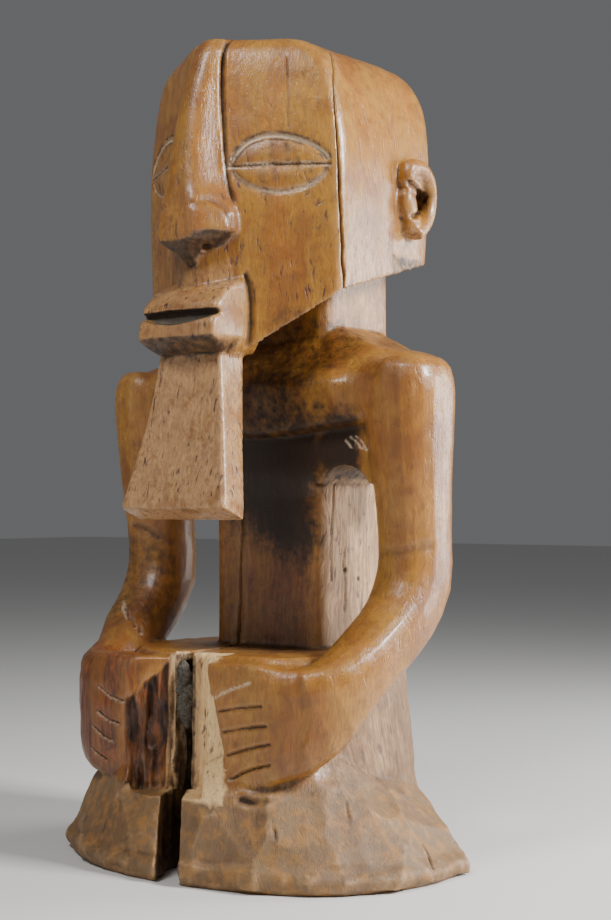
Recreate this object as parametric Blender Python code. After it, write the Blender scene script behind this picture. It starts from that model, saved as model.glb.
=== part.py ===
"""A carved wooden power figure, cut from one log: a bearded half-figure on a flaring base.

Millimetres in the values below, metres in the scene. +Z is up, the figure faces -Y, its left
hand is at +X, and the origin is the middle of the underside.
"""

import math

import bmesh
import bpy
import numpy as np
from mathutils import Vector

MM = 0.001

# How far a form runs on inside its neighbour, and how far a cut starts outside the wood.
ROOT = 8.0
REACH = 5.0

# The flaring base: a cone with an adzed rim, flat underneath.
BASE_HALF_WIDTH = 81.5
BASE_HALF_DEPTH = 62.5
BASE_CENTRE_Y = -4.0
BASE_SQUARENESS = 2.1
RIM_HEIGHT = 5.6
RIM_FRONT_EXTRA = 2.4
RIM_FACETS = 40
RIM_WAVER = 0.009
RIM_WAVER_TURN = 0.3 * math.pi
RIM_DIP = 0.5
RIM_DIP_TURN = 1.7
FLARE_TOP_HEIGHT = 31.0
FLARE_CORNER_RISE = 13.0

# The base's levels, as (share of the rim's or the flare's height, growth outwards, share of
# the way in to the lap's foot).
RIM_LEVELS = (
    (0.0, -3.0, 0.0), (0.3, -0.6, 0.0), (0.7, 0.0, 0.0), (1.0, -0.8, 0.0), (1.28, -2.2, 0.02),
)
FLARE_LEVELS = ((0.55, 0.0, 0.52), (1.0, 0.0, 0.96), (1.15, -3.0, 1.0))

# The lap block under the hands, with its level top.
LAP_FOOT_HALF_WIDTH = 54.5
LAP_FOOT_HALF_DEPTH = 50.5
LAP_TOP_HALF_WIDTH = 48.5
LAP_TOP_HALF_DEPTH = 45.5
LAP_TOP_HEIGHT = 78.4
LAP_TOP_EASE = 1.2
LAP_CENTRE_Y = 1.0
LAP_SQUARENESS = 2.5
LAP_SIDES = 36

# The trunk: a squared column with a rounded front.
TRUNK_HALF_WIDTH = 26.2
TRUNK_FRONT_Y = -1.0
TRUNK_BACK_Y = 45.0
TRUNK_CORNER = 5.0

# The neck, flush with the trunk's back.
NECK_HALF_WIDTH = 26.5
NECK_FRONT_Y = 1.0
NECK_BACK_Y = 45.2
NECK_CORNER = 7.0

# The shoulder yoke, as (x, front y, back y, lower z, upper z, ridge z) from the middle outwards.
YOKE_SECTIONS = (
    (0.0, -11.0, 45.0, 158.0, 202.0, 178.0),
    (18.0, -12.5, 44.5, 159.0, 201.5, 177.5),
    (28.0, -13.2, 42.0, 160.0, 198.5, 177.0),
    (38.0, -13.8, 37.0, 161.0, 194.5, 177.0),
    (48.0, -12.8, 30.0, 162.0, 190.5, 177.0),
    (58.0, -10.2, 24.0, 164.0, 188.8, 176.5),
    (66.0, -7.6, 18.0, 167.0, 186.8, 176.0),
    (70.0, -5.0, 13.0, 171.0, 183.8, 176.0),
)
YOKE_TOP_SETBACK = 19.0
YOKE_SETBACK_MOST = 0.36
YOKE_UNDERCUT = 4.5
YOKE_EASES = (3.0, 9.0, 5.0, 4.0, 2.6)
CHEST_FRONT_Y = -3.0
CHEST_BACK_Y = 30.0
CHEST_LOWER_Z = 140.0
ARCH_RADIUS = 11.4
ARCH_TOP_Z = 147.0
ARCH_SIDES = 20

# An arm, as (x, y, z, half across, half up, pitch, turn, squareness), from shoulder to wrist.
# Pitch -90 points down and 0 is level; turn 0 points forward and 90 points to the middle.
ARM_SECTIONS = (
    (60.0, 4.0, 185.6, 11.5, 12.0, -90.0, 0.0, 2.6),
    (60.5, 4.0, 182.0, 14.6, 15.0, -90.0, 0.0, 2.6),
    (61.0, 4.0, 173.0, 15.6, 16.0, -90.0, 0.0, 2.6),
    (61.3, 4.4, 160.0, 14.6, 15.6, -90.0, 0.0, 2.5),
    (61.6, 5.4, 142.0, 13.2, 14.6, -90.0, 0.0, 2.4),
    (61.4, 7.4, 122.0, 12.3, 13.8, -87.0, 0.0, 2.4),
    (61.0, 7.4, 105.0, 12.5, 14.2, -66.0, 0.0, 2.4),
    (60.2, -1.0, 91.5, 12.4, 12.6, -44.0, 0.0, 2.4),
    (58.4, -13.0, 81.2, 11.8, 12.2, -38.0, 2.0, 2.4),
)

# The hands run on from the wrists in like rows; the right one spreads lower than the left.
LEFT_HAND_SECTIONS = (
    (56.4, -24.0, 73.0, 11.2, 12.2, -36.0, 8.0, 2.5),
    (53.2, -34.0, 64.2, 10.0, 14.8, -30.0, 26.0, 2.8),
    (45.6, -41.0, 58.4, 8.6, 18.8, -18.0, 60.0, 3.2),
    (36.0, -44.6, 56.0, 7.4, 21.4, -8.0, 82.0, 4.0),
    (26.5, -45.2, 54.6, 6.8, 22.8, -5.0, 90.0, 5.0),
    (17.0, -45.2, 54.0, 6.4, 23.0, -5.0, 92.0, 6.0),
)
RIGHT_HAND_SECTIONS = (
    (53.6, -24.5, 71.2, 10.2, 12.8, -36.0, 8.0, 2.5),
    (52.4, -34.6, 60.6, 9.4, 19.2, -28.0, 22.0, 2.8),
    (47.4, -41.4, 55.6, 8.6, 22.8, -14.0, 56.0, 3.2),
    (36.6, -44.8, 54.4, 7.4, 23.6, -6.0, 80.0, 4.0),
    (26.5, -45.2, 54.0, 6.8, 23.4, -5.0, 90.0, 5.0),
    (17.0, -45.2, 54.0, 6.4, 23.0, -5.0, 92.0, 6.0),
)
FINGER_END_SLANT = 0.17
ARM_SIDES = 20

# The cuts that part the fingers, as heights on the left hand and on the broken right one.
# Where a cut starts and ends across, how far its end lies back, and half of its climb.
FINGER_CUTS_LEFT = (61.0, 53.9, 46.8, 39.6)
FINGER_CUTS_RIGHT = (61.6, 54.0, 47.3, 39.8)
FINGER_CUT_LEFT = (16.0, 36.5, 0.2, 0.9)
FINGER_CUT_RIGHT = (-29.0, -40.5, 1.4, 1.8)
FINGER_CUT_HALF_WIDTH = 0.5
FINGER_CUT_DEPTH = 1.1

# The head, as (z, half width, front y, corner y, back half width, back y) from chin to crown.
# The left cheek's corner stands further forward than the right one's.
HEAD_SECTIONS = (
    (178.0, 46.6, -44.5, -14.5, 44.5, 46.0),
    (205.0, 47.4, -46.0, -15.0, 42.6, 46.0),
    (230.0, 48.2, -46.8, -15.5, 43.6, 46.5),
    (256.0, 48.2, -46.6, -15.8, 44.6, 47.0),
    (272.0, 46.4, -45.2, -16.2, 44.6, 46.6),
    (284.0, 43.2, -44.4, -17.0, 43.6, 45.6),
    (292.0, 39.6, -43.8, -18.0, 41.0, 42.8),
    (297.5, 34.6, -42.6, -18.6, 36.8, 37.6),
    (301.2, 27.4, -38.4, -17.6, 29.0, 28.0),
    (303.0, 16.0, -27.0, -12.0, 16.0, 12.0),
)
HEAD_LEFT_LEAD = 3.0
HEAD_CORNER = 7.0
HEAD_LEFT_CORNER = 4.0
HEAD_FRONT_EASE = 8.0
HEAD_CROWN_Y = -6.0
CROWN_RISE = 0.4
JAW_FRONT = (-37.0, 185.0)
JAW_CORNER = (-17.3, 209.0)
JAW_BACK = (47.0, 226.0)

# The nose, as (z, middle x, ridge half width, ridge y, side half width, side y), crown to lip.
NOSE_SECTIONS = (
    (300.8, 3.4, 3.4, -40.0, 5.4, -34.5),
    (296.0, 3.0, 4.0, -43.8, 6.4, -37.6),
    (283.0, 1.0, 4.4, -47.2, 8.6, -39.0),
    (268.0, -0.4, 4.7, -49.8, 10.6, -39.0),
    (255.5, -1.0, 5.4, -51.4, 12.0, -39.4),
    (247.0, -0.8, 6.2, -52.4, 12.8, -40.2),
    (241.5, -0.4, 7.2, -53.2, 14.6, -41.4),
    (236.0, 0.0, 8.0, -53.8, 17.0, -43.0),
    (230.0, -0.3, 8.4, -54.4, 17.6, -43.6),
    (226.9, -1.0, 7.4, -54.0, 13.6, -43.4),
    (222.8, -0.8, 3.8, -50.6, 5.2, -43.6),
    (218.5, 0.0, 1.4, -45.4, 2.4, -43.0),
)
NOSE_ROOT_DEPTH = 12.0
NOSE_ROOT_SHARE = 0.86
NOSE_RIDGE_EASE = 3.0
NOSE_SIDE_EASE = 1.8

# The muzzle, as (z, half width, front y) from under the nose to the beard.
MUZZLE_SECTIONS = (
    (214.8, 16.4, -34.5),
    (212.8, 17.5, -39.4),
    (209.8, 17.9, -46.6),
    (205.0, 18.0, -51.8),
    (203.6, 18.0, -52.9),
    (200.8, 18.0, -53.4),
    (196.8, 18.0, -55.2),
    (192.4, 17.9, -55.7),
    (190.8, 17.4, -54.4),
    (188.8, 16.4, -51.0),
    (187.4, 15.4, -48.4),
    (186.4, 14.6, -46.4),
)
MUZZLE_BACK_Y = -28.0
MUZZLE_ROOT_SHARE = 1.06
MUZZLE_BOW = 0.9
MUZZLE_FRONT_EASE = 6.0
MUZZLE_SIDE_EASE = 1.8
LIP_SLIT_ROW = 5
LIP_SLIT_Z = 200.8
LIP_SLIT_HEIGHT = 4.6
LIP_SLIT_END_SHARE = 0.22
LIP_SLIT_DEPTH = 3.4
LIP_SLIT_RISE = 0.6
LIP_SLIT_FLARE = 0.4

# The beard slab, as (z, half width, front y, thickness) from the lip down.
BEARD_SECTIONS = (
    (191.0, 14.0, -44.0, 15.0),
    (185.0, 14.5, -46.6, 14.0),
    (172.0, 16.4, -48.2, 13.0),
    (158.0, 19.0, -50.6, 12.4),
    (145.0, 21.6, -53.4, 12.0),
    (134.0, 24.0, -56.0, 12.0),
    (131.5, 24.6, -56.6, 11.8),
)
BEARD_BOTTOM_TILT = 0.42
BEARD_CORNER = 1.2
BEARD_HOLLOW = 1.0

# The closed eyes, incised almonds with a slit, placed on the cheek planes.
LEFT_EYE_MIDDLE = (28.6, 253.2)
RIGHT_EYE_MIDDLE = (26.6, 258.2)
EYE_HALF_LENGTH = 14.6
EYE_UPPER = 10.6
EYE_LOWER = 9.6
EYE_GROOVE = 0.9
EYE_POINTING = 1.25
EYE_STEPS = 12
SLIT_SHARE = 0.75
SLIT_SPAN = (-1.12, 1.02)

# The ears: a low plate under a C-shaped rim, with a lobe above and a bump before the hollow.
EAR_CENTRE = (27.5, 246.4)
EAR_PLATE_HALF = (6.6, 12.6)
EAR_PLATE_X = 48.6
EAR_PLATE_EASE = 0.9
EAR_RIM_PATH = (
    (-6.0, 6.6, 2.2), (-4.2, 11.6, 3.0), (1.8, 12.6, 3.4), (6.6, 9.0, 3.4), (7.8, 2.4, 3.0),
    (5.8, -4.2, 2.8), (1.6, -9.0, 2.8), (-3.4, -12.6, 2.6),
)
EAR_RIM_X = 49.6
EAR_RIM_STAND = 1.25
EAR_LOBES = ((-1.4, 7.6, 6.2, 6.0), (-4.7, -1.3, 4.0, 6.4), (-2.2, -8.7, 4.6, 4.9))
EAR_LOBE_PROFILE = ((-5.0, 1.0), (0.6, 1.0), (1.9, 0.78), (2.6, 0.4))
EAR_HOLLOW = (2.2, 0.3, 3.0, 4.6)
EAR_HOLLOW_DEPTH = 7.0
EAR_LEAN = 0.16

# The big split of the log, in plan as (x, y, width): from the trunk's foot out to the rim.
LOG_SPLIT_PLAN = (
    (14.0, -84.0, 10.0), (6.4, -67.0, 8.8), (-4.0, -50.0, 7.0), (-6.2, -42.0, 5.4),
    (-9.4, -27.0, 2.4), (-13.0, -4.0, 1.2), (-15.0, 4.0, 0.6),
)
TRUNK_SPLIT_X = (-9.0, -14.0)
TRUNK_SPLIT_WIDTH = 1.4
TRUNK_SPLIT_DEPTH = 5.0

# The long narrow split at the left cheek's edge.
FACE_SPLIT_X = (46.0, 47.3)
FACE_SPLIT_Y = (-22.4, -16.8)
FACE_SPLIT_WIDTH = 1.3
FACE_SPLIT_DEPTH = 7.0
FACE_SPLIT_OUT = (0.8, -0.6)
FACE_SPLIT_TOP_SHARE = 0.35

# The right hand's fingers are broken away: the break runs in plan between these points.
BREAK_SKIN = (-27.0, -52.0)
BREAK_ROOT = (-13.0, -44.6)
BREAK_FOOT_SHIFT = 3.0
BREAK_LOW_Z = 29.0
BREAK_DEPTH = 25.0

WOOD_COLOUR = (0.32, 0.135, 0.045, 1.0)
WOOD_ROUGHNESS = 0.38
SHARP_ANGLE = 32.0


def clear_scene():
    for obj in list(bpy.data.objects):
        bpy.data.objects.remove(obj)


def wood():
    """Oiled brown hardwood, worn to a low shine."""
    material = bpy.data.materials.new("carved wood")
    material.use_nodes = True
    shader = material.node_tree.nodes["Principled BSDF"]
    shader.inputs["Base Color"].default_value = WOOD_COLOUR
    shader.inputs["Roughness"].default_value = WOOD_ROUGHNESS
    shader.inputs["Metallic"].default_value = 0.0
    return material


def loft(name, rings, crown=None):
    """A closed solid through rings of as many points each; crown is a last point over the end."""
    form = bmesh.new()
    loops = []
    for ring in rings:
        loops.append([form.verts.new(Vector(point) * MM) for point in ring])
    count = len(loops[0])
    for lower, upper in zip(loops, loops[1:]):
        for i in range(count):
            j = (i + 1) % count
            form.faces.new((lower[i], lower[j], upper[j], upper[i]))
    form.faces.new(list(reversed(loops[0])))
    if crown is None:
        form.faces.new(loops[-1])
    else:
        peak = form.verts.new(Vector(crown) * MM)
        for i in range(count):
            form.faces.new((loops[-1][i], loops[-1][(i + 1) % count], peak))
    bmesh.ops.recalc_face_normals(form, faces=form.faces)
    mesh = bpy.data.meshes.new(name)
    form.to_mesh(mesh)
    form.free()
    return mesh


def rounded(corners, cuts, steps):
    """A closed plan outline whose corners are eased by curves that start cut away from each.

    A cut takes less than half of a side, so that two cuts never meet on it.
    """
    corners = [np.array(corner, float) for corner in corners]
    outline = []
    for i, (corner, cut) in enumerate(zip(corners, cuts)):
        before = corners[i - 1] - corner
        after = corners[(i + 1) % len(corners)] - corner
        before_length, after_length = np.linalg.norm(before), np.linalg.norm(after)
        start = corner + before / before_length * min(cut, 0.45 * before_length)
        end = corner + after / after_length * min(cut, 0.45 * after_length)
        for t in np.linspace(0.0, 1.0, steps):
            outline.append((1 - t) ** 2 * start + 2 * t * (1 - t) * corner + t**2 * end)
    return outline


def oval(half_x, half_y, sides, squareness=2.0):
    """Points around a superellipse: squareness 2 is a true ellipse, and more is boxier."""
    points = []
    for i in range(sides):
        angle = 2 * math.pi * i / sides
        x = math.copysign(abs(math.cos(angle)) ** (2 / squareness), math.cos(angle))
        y = math.copysign(abs(math.sin(angle)) ** (2 / squareness), math.sin(angle))
        points.append((half_x * x, half_y * y))
    return points


def eased(rows, per_span):
    """Rows of sizes with further rows between them, on a smooth curve through the given ones."""
    rows = np.array(rows, float)
    padded = np.vstack([2 * rows[0] - rows[1], rows, 2 * rows[-1] - rows[-2]])
    out = []
    for i in range(1, len(padded) - 2):
        a, b, c, d = padded[i - 1 : i + 3]
        for t in np.arange(per_span) / per_span:
            out.append(
                0.5 * (2 * b + (c - a) * t + (2 * a - 5 * b + 4 * c - d) * t**2
                + (3 * b - a - 3 * c + d) * t**3)
            )
    out.append(rows[-1])
    return out


def base_mesh():
    """The flaring base, with a rim that wavers from facet to facet as adze work does."""
    rings = []
    for flaring, levels in ((False, RIM_LEVELS), (True, FLARE_LEVELS)):
        for level, grow, share in levels:
            half_x = BASE_HALF_WIDTH + (LAP_FOOT_HALF_WIDTH - BASE_HALF_WIDTH) * share + grow
            half_y = BASE_HALF_DEPTH + (LAP_FOOT_HALF_DEPTH - BASE_HALF_DEPTH) * share + grow
            ring = []
            for i, (x, y) in enumerate(oval(half_x, half_y, RIM_FACETS, BASE_SQUARENESS)):
                waver = 1 + RIM_WAVER * math.sin(RIM_WAVER_TURN * i) * (1 - share)
                corner = max(0.0, -2.0 * abs(x) * y / (half_x * half_y))
                flare = FLARE_TOP_HEIGHT + FLARE_CORNER_RISE * corner - RIM_HEIGHT
                z = RIM_HEIGHT + flare * level if flaring else RIM_HEIGHT * level
                rise = RIM_DIP * math.sin(RIM_DIP_TURN * i) - RIM_FRONT_EXTRA * y / half_y
                dip = rise * min(1.0, z / RIM_HEIGHT) * (1 - share)
                ring.append((x * waver, BASE_CENTRE_Y + y * waver, z + dip))
            rings.append(ring)
    core = oval(LAP_FOOT_HALF_WIDTH / 2, LAP_FOOT_HALF_DEPTH / 2, RIM_FACETS)
    rings.append([(x, BASE_CENTRE_Y + y, FLARE_TOP_HEIGHT) for x, y in core])
    return loft("base", rings)


def lap_mesh():
    rings = []
    for share in (0.0, 0.35, 0.7, 0.96, 1.0):
        shrink = LAP_TOP_EASE if share == 1.0 else 0.0
        z = FLARE_TOP_HEIGHT - ROOT + (LAP_TOP_HEIGHT - FLARE_TOP_HEIGHT + ROOT) * share
        half_x = LAP_FOOT_HALF_WIDTH + (LAP_TOP_HALF_WIDTH - LAP_FOOT_HALF_WIDTH) * share - shrink
        half_y = LAP_FOOT_HALF_DEPTH + (LAP_TOP_HALF_DEPTH - LAP_FOOT_HALF_DEPTH) * share - shrink
        outline = oval(half_x, half_y, LAP_SIDES, LAP_SQUARENESS)
        rings.append([(x, LAP_CENTRE_Y + y, z) for x, y in outline])
    return loft("lap", rings)


def column_mesh(name, half_width, front, back, corner, low, high):
    corners = ((-half_width, front), (half_width, front), (half_width, back), (-half_width, back))
    outline = rounded(corners, (corner,) * 4, 5)
    rings = [[(x, y, z) for x, y in outline] for z in np.linspace(low, high, 4)]
    return loft(name, rings)


def trunk_mesh():
    return column_mesh(
        "trunk", TRUNK_HALF_WIDTH, TRUNK_FRONT_Y, TRUNK_BACK_Y, TRUNK_CORNER,
        LAP_TOP_HEIGHT - ROOT, YOKE_SECTIONS[0][3] + ROOT,
    )


def neck_mesh():
    return column_mesh(
        "neck", NECK_HALF_WIDTH, NECK_FRONT_Y, NECK_BACK_Y, NECK_CORNER,
        YOKE_SECTIONS[0][4] - ROOT, JAW_BACK[1] + ROOT,
    )


def yoke_mesh():
    """The bar across the shoulders, with a ridge along its front above an undercut."""
    half = [np.array(row) for row in YOKE_SECTIONS]
    rows = [row * (-1, 1, 1, 1, 1, 1) for row in reversed(half[1:])] + half
    rings = []
    for x, front, back, low, high, ridge in rows:
        setback = min(YOKE_TOP_SETBACK, (back - front) * YOKE_SETBACK_MOST)
        corners = ((front + YOKE_UNDERCUT, low), (back, low), (back, high),
                   (front + setback, high), (front, ridge))
        rings.append([(x, y, z) for y, z in rounded(corners, YOKE_EASES, 4)])
    return loft("yoke", rings)


def chest_mesh():
    """The wall between trunk and arms above the open arches."""
    side = ARM_SECTIONS[4][0] - REACH
    low = CHEST_LOWER_Z
    high = YOKE_SECTIONS[0][3] + 1.5 * ROOT
    rings = []
    for y in (CHEST_FRONT_Y, CHEST_BACK_Y):
        rings.append([(-side, y, low), (side, y, low), (side, y, high), (-side, y, high)])
    return loft("chest", rings)


def arch_mesh(side):
    """The round head of an arm opening, cut through from front to back."""
    middle = side * (TRUNK_HALF_WIDTH + ARM_SECTIONS[4][0] - ARM_SECTIONS[4][3]) / 2
    spring = ARCH_TOP_Z - ARCH_RADIUS
    outline = [(middle + x, spring + z) for x, z in oval(ARCH_RADIUS, ARCH_RADIUS, ARCH_SIDES)]
    ends = (CHEST_FRONT_Y - REACH, CHEST_BACK_Y + REACH)
    rings = [[(x, y, z) for x, z in outline] for y in ends]
    return loft("arch", rings)


def arm_mesh(side):
    """An arm and hand swept along their bend; the hand lies flat on the lap's front."""
    rings = []
    hand = LEFT_HAND_SECTIONS if side > 0 else RIGHT_HAND_SECTIONS
    for x, y, z, half_across, half_up, pitch, turn, square in eased(ARM_SECTIONS + hand, 2):
        pitch, turn = math.radians(pitch), math.radians(turn)
        ahead = Vector((-math.sin(turn) * math.cos(pitch), -math.cos(turn) * math.cos(pitch),
                        math.sin(pitch)))
        across = Vector((math.cos(turn), -math.sin(turn), 0.0))
        up = ahead.cross(across)
        ring = []
        for a, b in oval(half_across, half_up, ARM_SIDES, square):
            point = Vector((x, y, z)) + across * a + up * b
            ring.append((point.x * side, point.y, point.z))
        rings.append(ring)
    last = rings[-1]
    middle_z = hand[-1][2]
    rings[-1] = [(x - side * FINGER_END_SLANT * (z - middle_z), y, z) for x, y, z in last]
    return loft("arm", rings)


def head_mesh():
    """A wedge: two cheek planes meet at the nose, the sides are flat, the crown is domed."""
    rings = []
    for z, half, front, corner, back_half, back in eased(HEAD_SECTIONS, 2):
        corners = ((0.0, front), (half, corner - HEAD_LEFT_LEAD), (back_half, back),
                   (-back_half, back), (-half, corner))
        cuts = (HEAD_FRONT_EASE, HEAD_LEFT_CORNER) + (HEAD_CORNER,) * 3
        rings.append([(x, y, z) for x, y in rounded(corners, cuts, 6)])
    return loft("head", rings, crown=(0.0, HEAD_CROWN_Y, HEAD_SECTIONS[-1][0] + CROWN_RISE))


def cheek_point(x, z):
    """The point of a cheek plane at this distance from the middle and this height."""
    levels = np.array(HEAD_SECTIONS)
    half, front, corner = (np.interp(z, levels[:, 0], levels[:, i]) for i in (1, 2, 3))
    if x > 0:
        corner -= HEAD_LEFT_LEAD
    return np.array((x, front + (corner - front) * abs(x) / half, z))


def groove_mesh(name, path, radius):
    """A thin six-sided tube along points, to cut a round-bottomed groove."""
    path = [np.array(point) for point in path]
    rings = []
    for i, point in enumerate(path):
        before, after = path[max(i - 1, 0)], path[min(i + 1, len(path) - 1)]
        along = Vector(after - before).normalized()
        across = along.cross(Vector((0.0, -1.0, 0.0))).normalized()
        out = along.cross(across)
        rings.append([Vector(point) + across * a + out * b for a, b in oval(radius, radius, 6)])
    return loft(name, rings)


def eye_mesh(side):
    """The upper and lower arc of the almond, and the slit between the lids."""
    middle, level = LEFT_EYE_MIDDLE if side > 0 else RIGHT_EYE_MIDDLE
    lines = []
    for height in (EYE_UPPER, -EYE_LOWER):
        arc = []
        for angle in np.linspace(0.0, math.pi, EYE_STEPS):
            across = middle + EYE_HALF_LENGTH * math.cos(angle)
            arc.append(cheek_point(side * across, level + height * math.sin(angle) ** EYE_POINTING))
        lines.append(groove_mesh("eye line", arc, EYE_GROOVE))
    slit = [cheek_point(side * (middle + EYE_HALF_LENGTH * share), level)
            for share in np.linspace(*SLIT_SPAN, 9)]
    lines.append(groove_mesh("eye slit", slit, EYE_GROOVE * SLIT_SHARE))
    return combined(lines[0], (("UNION", lines[1:]),))


def finger_cut_meshes():
    """Thin level wedges across the backs of the hands."""
    front = LEFT_HAND_SECTIONS[-1][1] - LEFT_HAND_SECTIONS[-1][3]
    mouth = FINGER_CUT_HALF_WIDTH * (REACH + FINGER_CUT_DEPTH) / FINGER_CUT_DEPTH
    cuts = []
    for heights, (start, end, bend, climb) in ((FINGER_CUTS_LEFT, FINGER_CUT_LEFT),
                                               (FINGER_CUTS_RIGHT, FINGER_CUT_RIGHT)):
        for z in heights:
            rings = []
            for x, rise, back in ((start, -climb, 0.0), (end, climb, bend)):
                y = front + back
                rings.append([(x, y - REACH, z + rise - mouth),
                              (x, y + FINGER_CUT_DEPTH, z + rise),
                              (x, y - REACH, z + rise + mouth)])
            cuts.append(loft("finger cut", rings))
    return cuts


def jaw_cutter_mesh():
    """What is cut away below the jaw, which climbs from the chin to the nape."""
    low = HEAD_SECTIONS[0][0] - REACH
    ahead = HEAD_SECTIONS[0][2] - REACH
    behind = JAW_BACK[0] + REACH
    side = HEAD_SECTIONS[3][1] + REACH
    slope = (JAW_BACK[1] - JAW_CORNER[1]) / (JAW_BACK[0] - JAW_CORNER[0])
    profile = ((ahead, low), (ahead, JAW_FRONT[1]), JAW_FRONT, JAW_CORNER,
               (behind, JAW_BACK[1] + REACH * slope), (behind, low))
    return loft("jaw cut", [[(x, y, z) for y, z in profile] for x in (-side, side)])


def nose_mesh():
    """A long ridge from the crown that broadens to the wings and is cut back under the tip."""
    rings = []
    for z, middle, ridge_half, ridge_y, side_half, side_y in NOSE_SECTIONS:
        root_half, root_y = side_half * NOSE_ROOT_SHARE, side_y + NOSE_ROOT_DEPTH
        corners = ((-ridge_half, ridge_y), (ridge_half, ridge_y), (side_half, side_y),
                   (root_half, root_y), (-root_half, root_y), (-side_half, side_y))
        outline = rounded(corners, (NOSE_RIDGE_EASE,) * 2 + (NOSE_SIDE_EASE,) * 4, 3)
        rings.append([(middle + x, y, z) for x, y in outline])
    return loft("nose", rings)


def muzzle_mesh():
    rings = []
    for z, half, front in MUZZLE_SECTIONS:
        root = half * MUZZLE_ROOT_SHARE
        corners = ((0.0, front - MUZZLE_BOW), (half, front + MUZZLE_BOW), (root, MUZZLE_BACK_Y),
                   (-root, MUZZLE_BACK_Y), (-half, front + MUZZLE_BOW))
        outline = rounded(corners, (MUZZLE_FRONT_EASE,) + (MUZZLE_SIDE_EASE,) * 4, 4)
        rings.append([(x, y, z) for x, y in outline])
    return loft("muzzle", rings)


def lip_slit_mesh():
    """The crescent cut between the lips, tallest in the middle."""
    lip_half, lip_front = MUZZLE_SECTIONS[LIP_SLIT_ROW][1:]
    half = lip_half + REACH
    front = lip_front - REACH
    deep = lip_front + LIP_SLIT_DEPTH
    rings = []
    for x in np.linspace(-half, half, 15):
        bulge = max(0.0, 1 - (x / lip_half) ** 2)
        high = LIP_SLIT_Z + LIP_SLIT_RISE * bulge
        low = high - LIP_SLIT_HEIGHT * (LIP_SLIT_END_SHARE + (1 - LIP_SLIT_END_SHARE) * bulge)
        rings.append([(x, front, low - LIP_SLIT_FLARE), (x, deep, low), (x, deep, high),
                      (x, front, high + LIP_SLIT_FLARE)])
    return loft("lip slit", rings)


def beard_mesh():
    """A flat slab that widens and slants forward, hollowed in front and cut slanting below."""
    rings = []
    for i, (z, half, front, thick) in enumerate(BEARD_SECTIONS):
        back = front + thick
        corners = ((-half, front), (0.0, front + BEARD_HOLLOW), (half, front), (half, back),
                   (-half, back))
        outline = rounded(corners, (BEARD_CORNER, half / 3) + (BEARD_CORNER,) * 3, 3)
        tilt = BEARD_BOTTOM_TILT if i == len(BEARD_SECTIONS) - 1 else 0.0
        rings.append([(x, y, z - tilt * (y - front)) for x, y in outline])
    return loft("beard", rings)


def ear_point(side, x, y, z):
    """A point of an ear from its place on the head's side, leaned back with its height."""
    return (side * x, EAR_CENTRE[0] + y - EAR_LEAN * z, EAR_CENTRE[1] + z)


def ear_plate_mesh(side):
    root = HEAD_SECTIONS[3][1] - ROOT
    ease = EAR_PLATE_EASE
    rings = []
    for x, grow in ((root, ease), (EAR_PLATE_X - ease, 0.0), (EAR_PLATE_X, -ease)):
        outline = oval(EAR_PLATE_HALF[0] + grow, EAR_PLATE_HALF[1] + grow, 16)
        rings.append([ear_point(side, x, y, z) for y, z in outline])
    return loft("ear plate", rings)


def ear_rim_mesh(side):
    """A tube along the ear's C-shaped rim, from the front of its top to the lobe."""
    path = eased(EAR_RIM_PATH, 2)
    rings = []
    for i, (y, z, radius) in enumerate(path):
        before, after = path[max(i - 1, 0)], path[min(i + 1, len(path) - 1)]
        along = Vector((0.0, after[0] - before[0], after[1] - before[1])).normalized()
        across = along.cross(Vector((1.0, 0.0, 0.0)))
        ring = []
        for a, b in oval(radius * EAR_RIM_STAND, radius, 8):
            point = Vector((EAR_RIM_X, y, z)) + across * b
            ring.append(ear_point(side, point.x + a, point.y, point.z))
        rings.append(ring)
    return loft("ear rim", rings)


def ear_lobe_mesh(side, lobe):
    y0, z0, half_y, half_z = lobe
    rings = []
    for x, share in EAR_LOBE_PROFILE:
        outline = oval(half_y * share, half_z * share, 10)
        rings.append([ear_point(side, EAR_PLATE_X + x, y0 + y, z0 + z) for y, z in outline])
    return loft("ear lobe", rings)


def ear_mesh(side):
    lobes = [ear_lobe_mesh(side, lobe) for lobe in EAR_LOBES]
    return combined(ear_plate_mesh(side), (("UNION", [ear_rim_mesh(side)] + lobes),))


def ear_hollow_mesh(side):
    """The deep round hollow behind the ear's front bump, narrower at its bottom."""
    y0, z0, half_y, half_z = EAR_HOLLOW
    rings = []
    for x, share in ((EAR_PLATE_X + REACH, 1.0), (EAR_PLATE_X - EAR_HOLLOW_DEPTH, 0.7)):
        outline = oval(half_y * share, half_z * share, 9)
        rings.append([ear_point(side, x, y0 + y, z0 + z) for y, z in outline])
    return loft("ear hollow", rings)


def log_split_mesh():
    """The big split, cut upright through base and lap from the rim to the trunk's foot."""
    left = []
    right = []
    rows = eased(LOG_SPLIT_PLAN, 2)
    for i, (x, y, width) in enumerate(rows):
        before, after = rows[max(i - 1, 0)], rows[min(i + 1, len(rows) - 1)]
        along = np.array((after[0] - before[0], after[1] - before[1]))
        across = np.array((along[1], -along[0])) / np.linalg.norm(along) * width / 2
        left.append((x - across[0], y - across[1]))
        right.append((x + across[0], y + across[1]))
    outline = left + list(reversed(right))
    ends = (-REACH, LAP_TOP_HEIGHT + REACH)
    return loft("log split", [[(x, y, z) for x, y in outline] for z in ends])


def break_mesh():
    """What is lost of the right hand: all that stood in front of the slanting break."""
    skin, root = np.array(BREAK_SKIN), np.array(BREAK_ROOT)
    along = (root - skin) / np.linalg.norm(root - skin)
    out = np.array((along[1], -along[0])) * BREAK_DEPTH
    rings = []
    for z, foot in ((BREAK_LOW_Z, BREAK_FOOT_SHIFT), (LAP_TOP_HEIGHT + REACH, 0.0)):
        start = skin + (foot, 0.0)
        end = root + along * 2 * ROOT + (foot, 0.0)
        plan = (start, end, end + out, start + out * 0.6 + along * REACH)
        rings.append([(x, y, z) for x, y in plan])
    return loft("hand break", rings)


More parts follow.
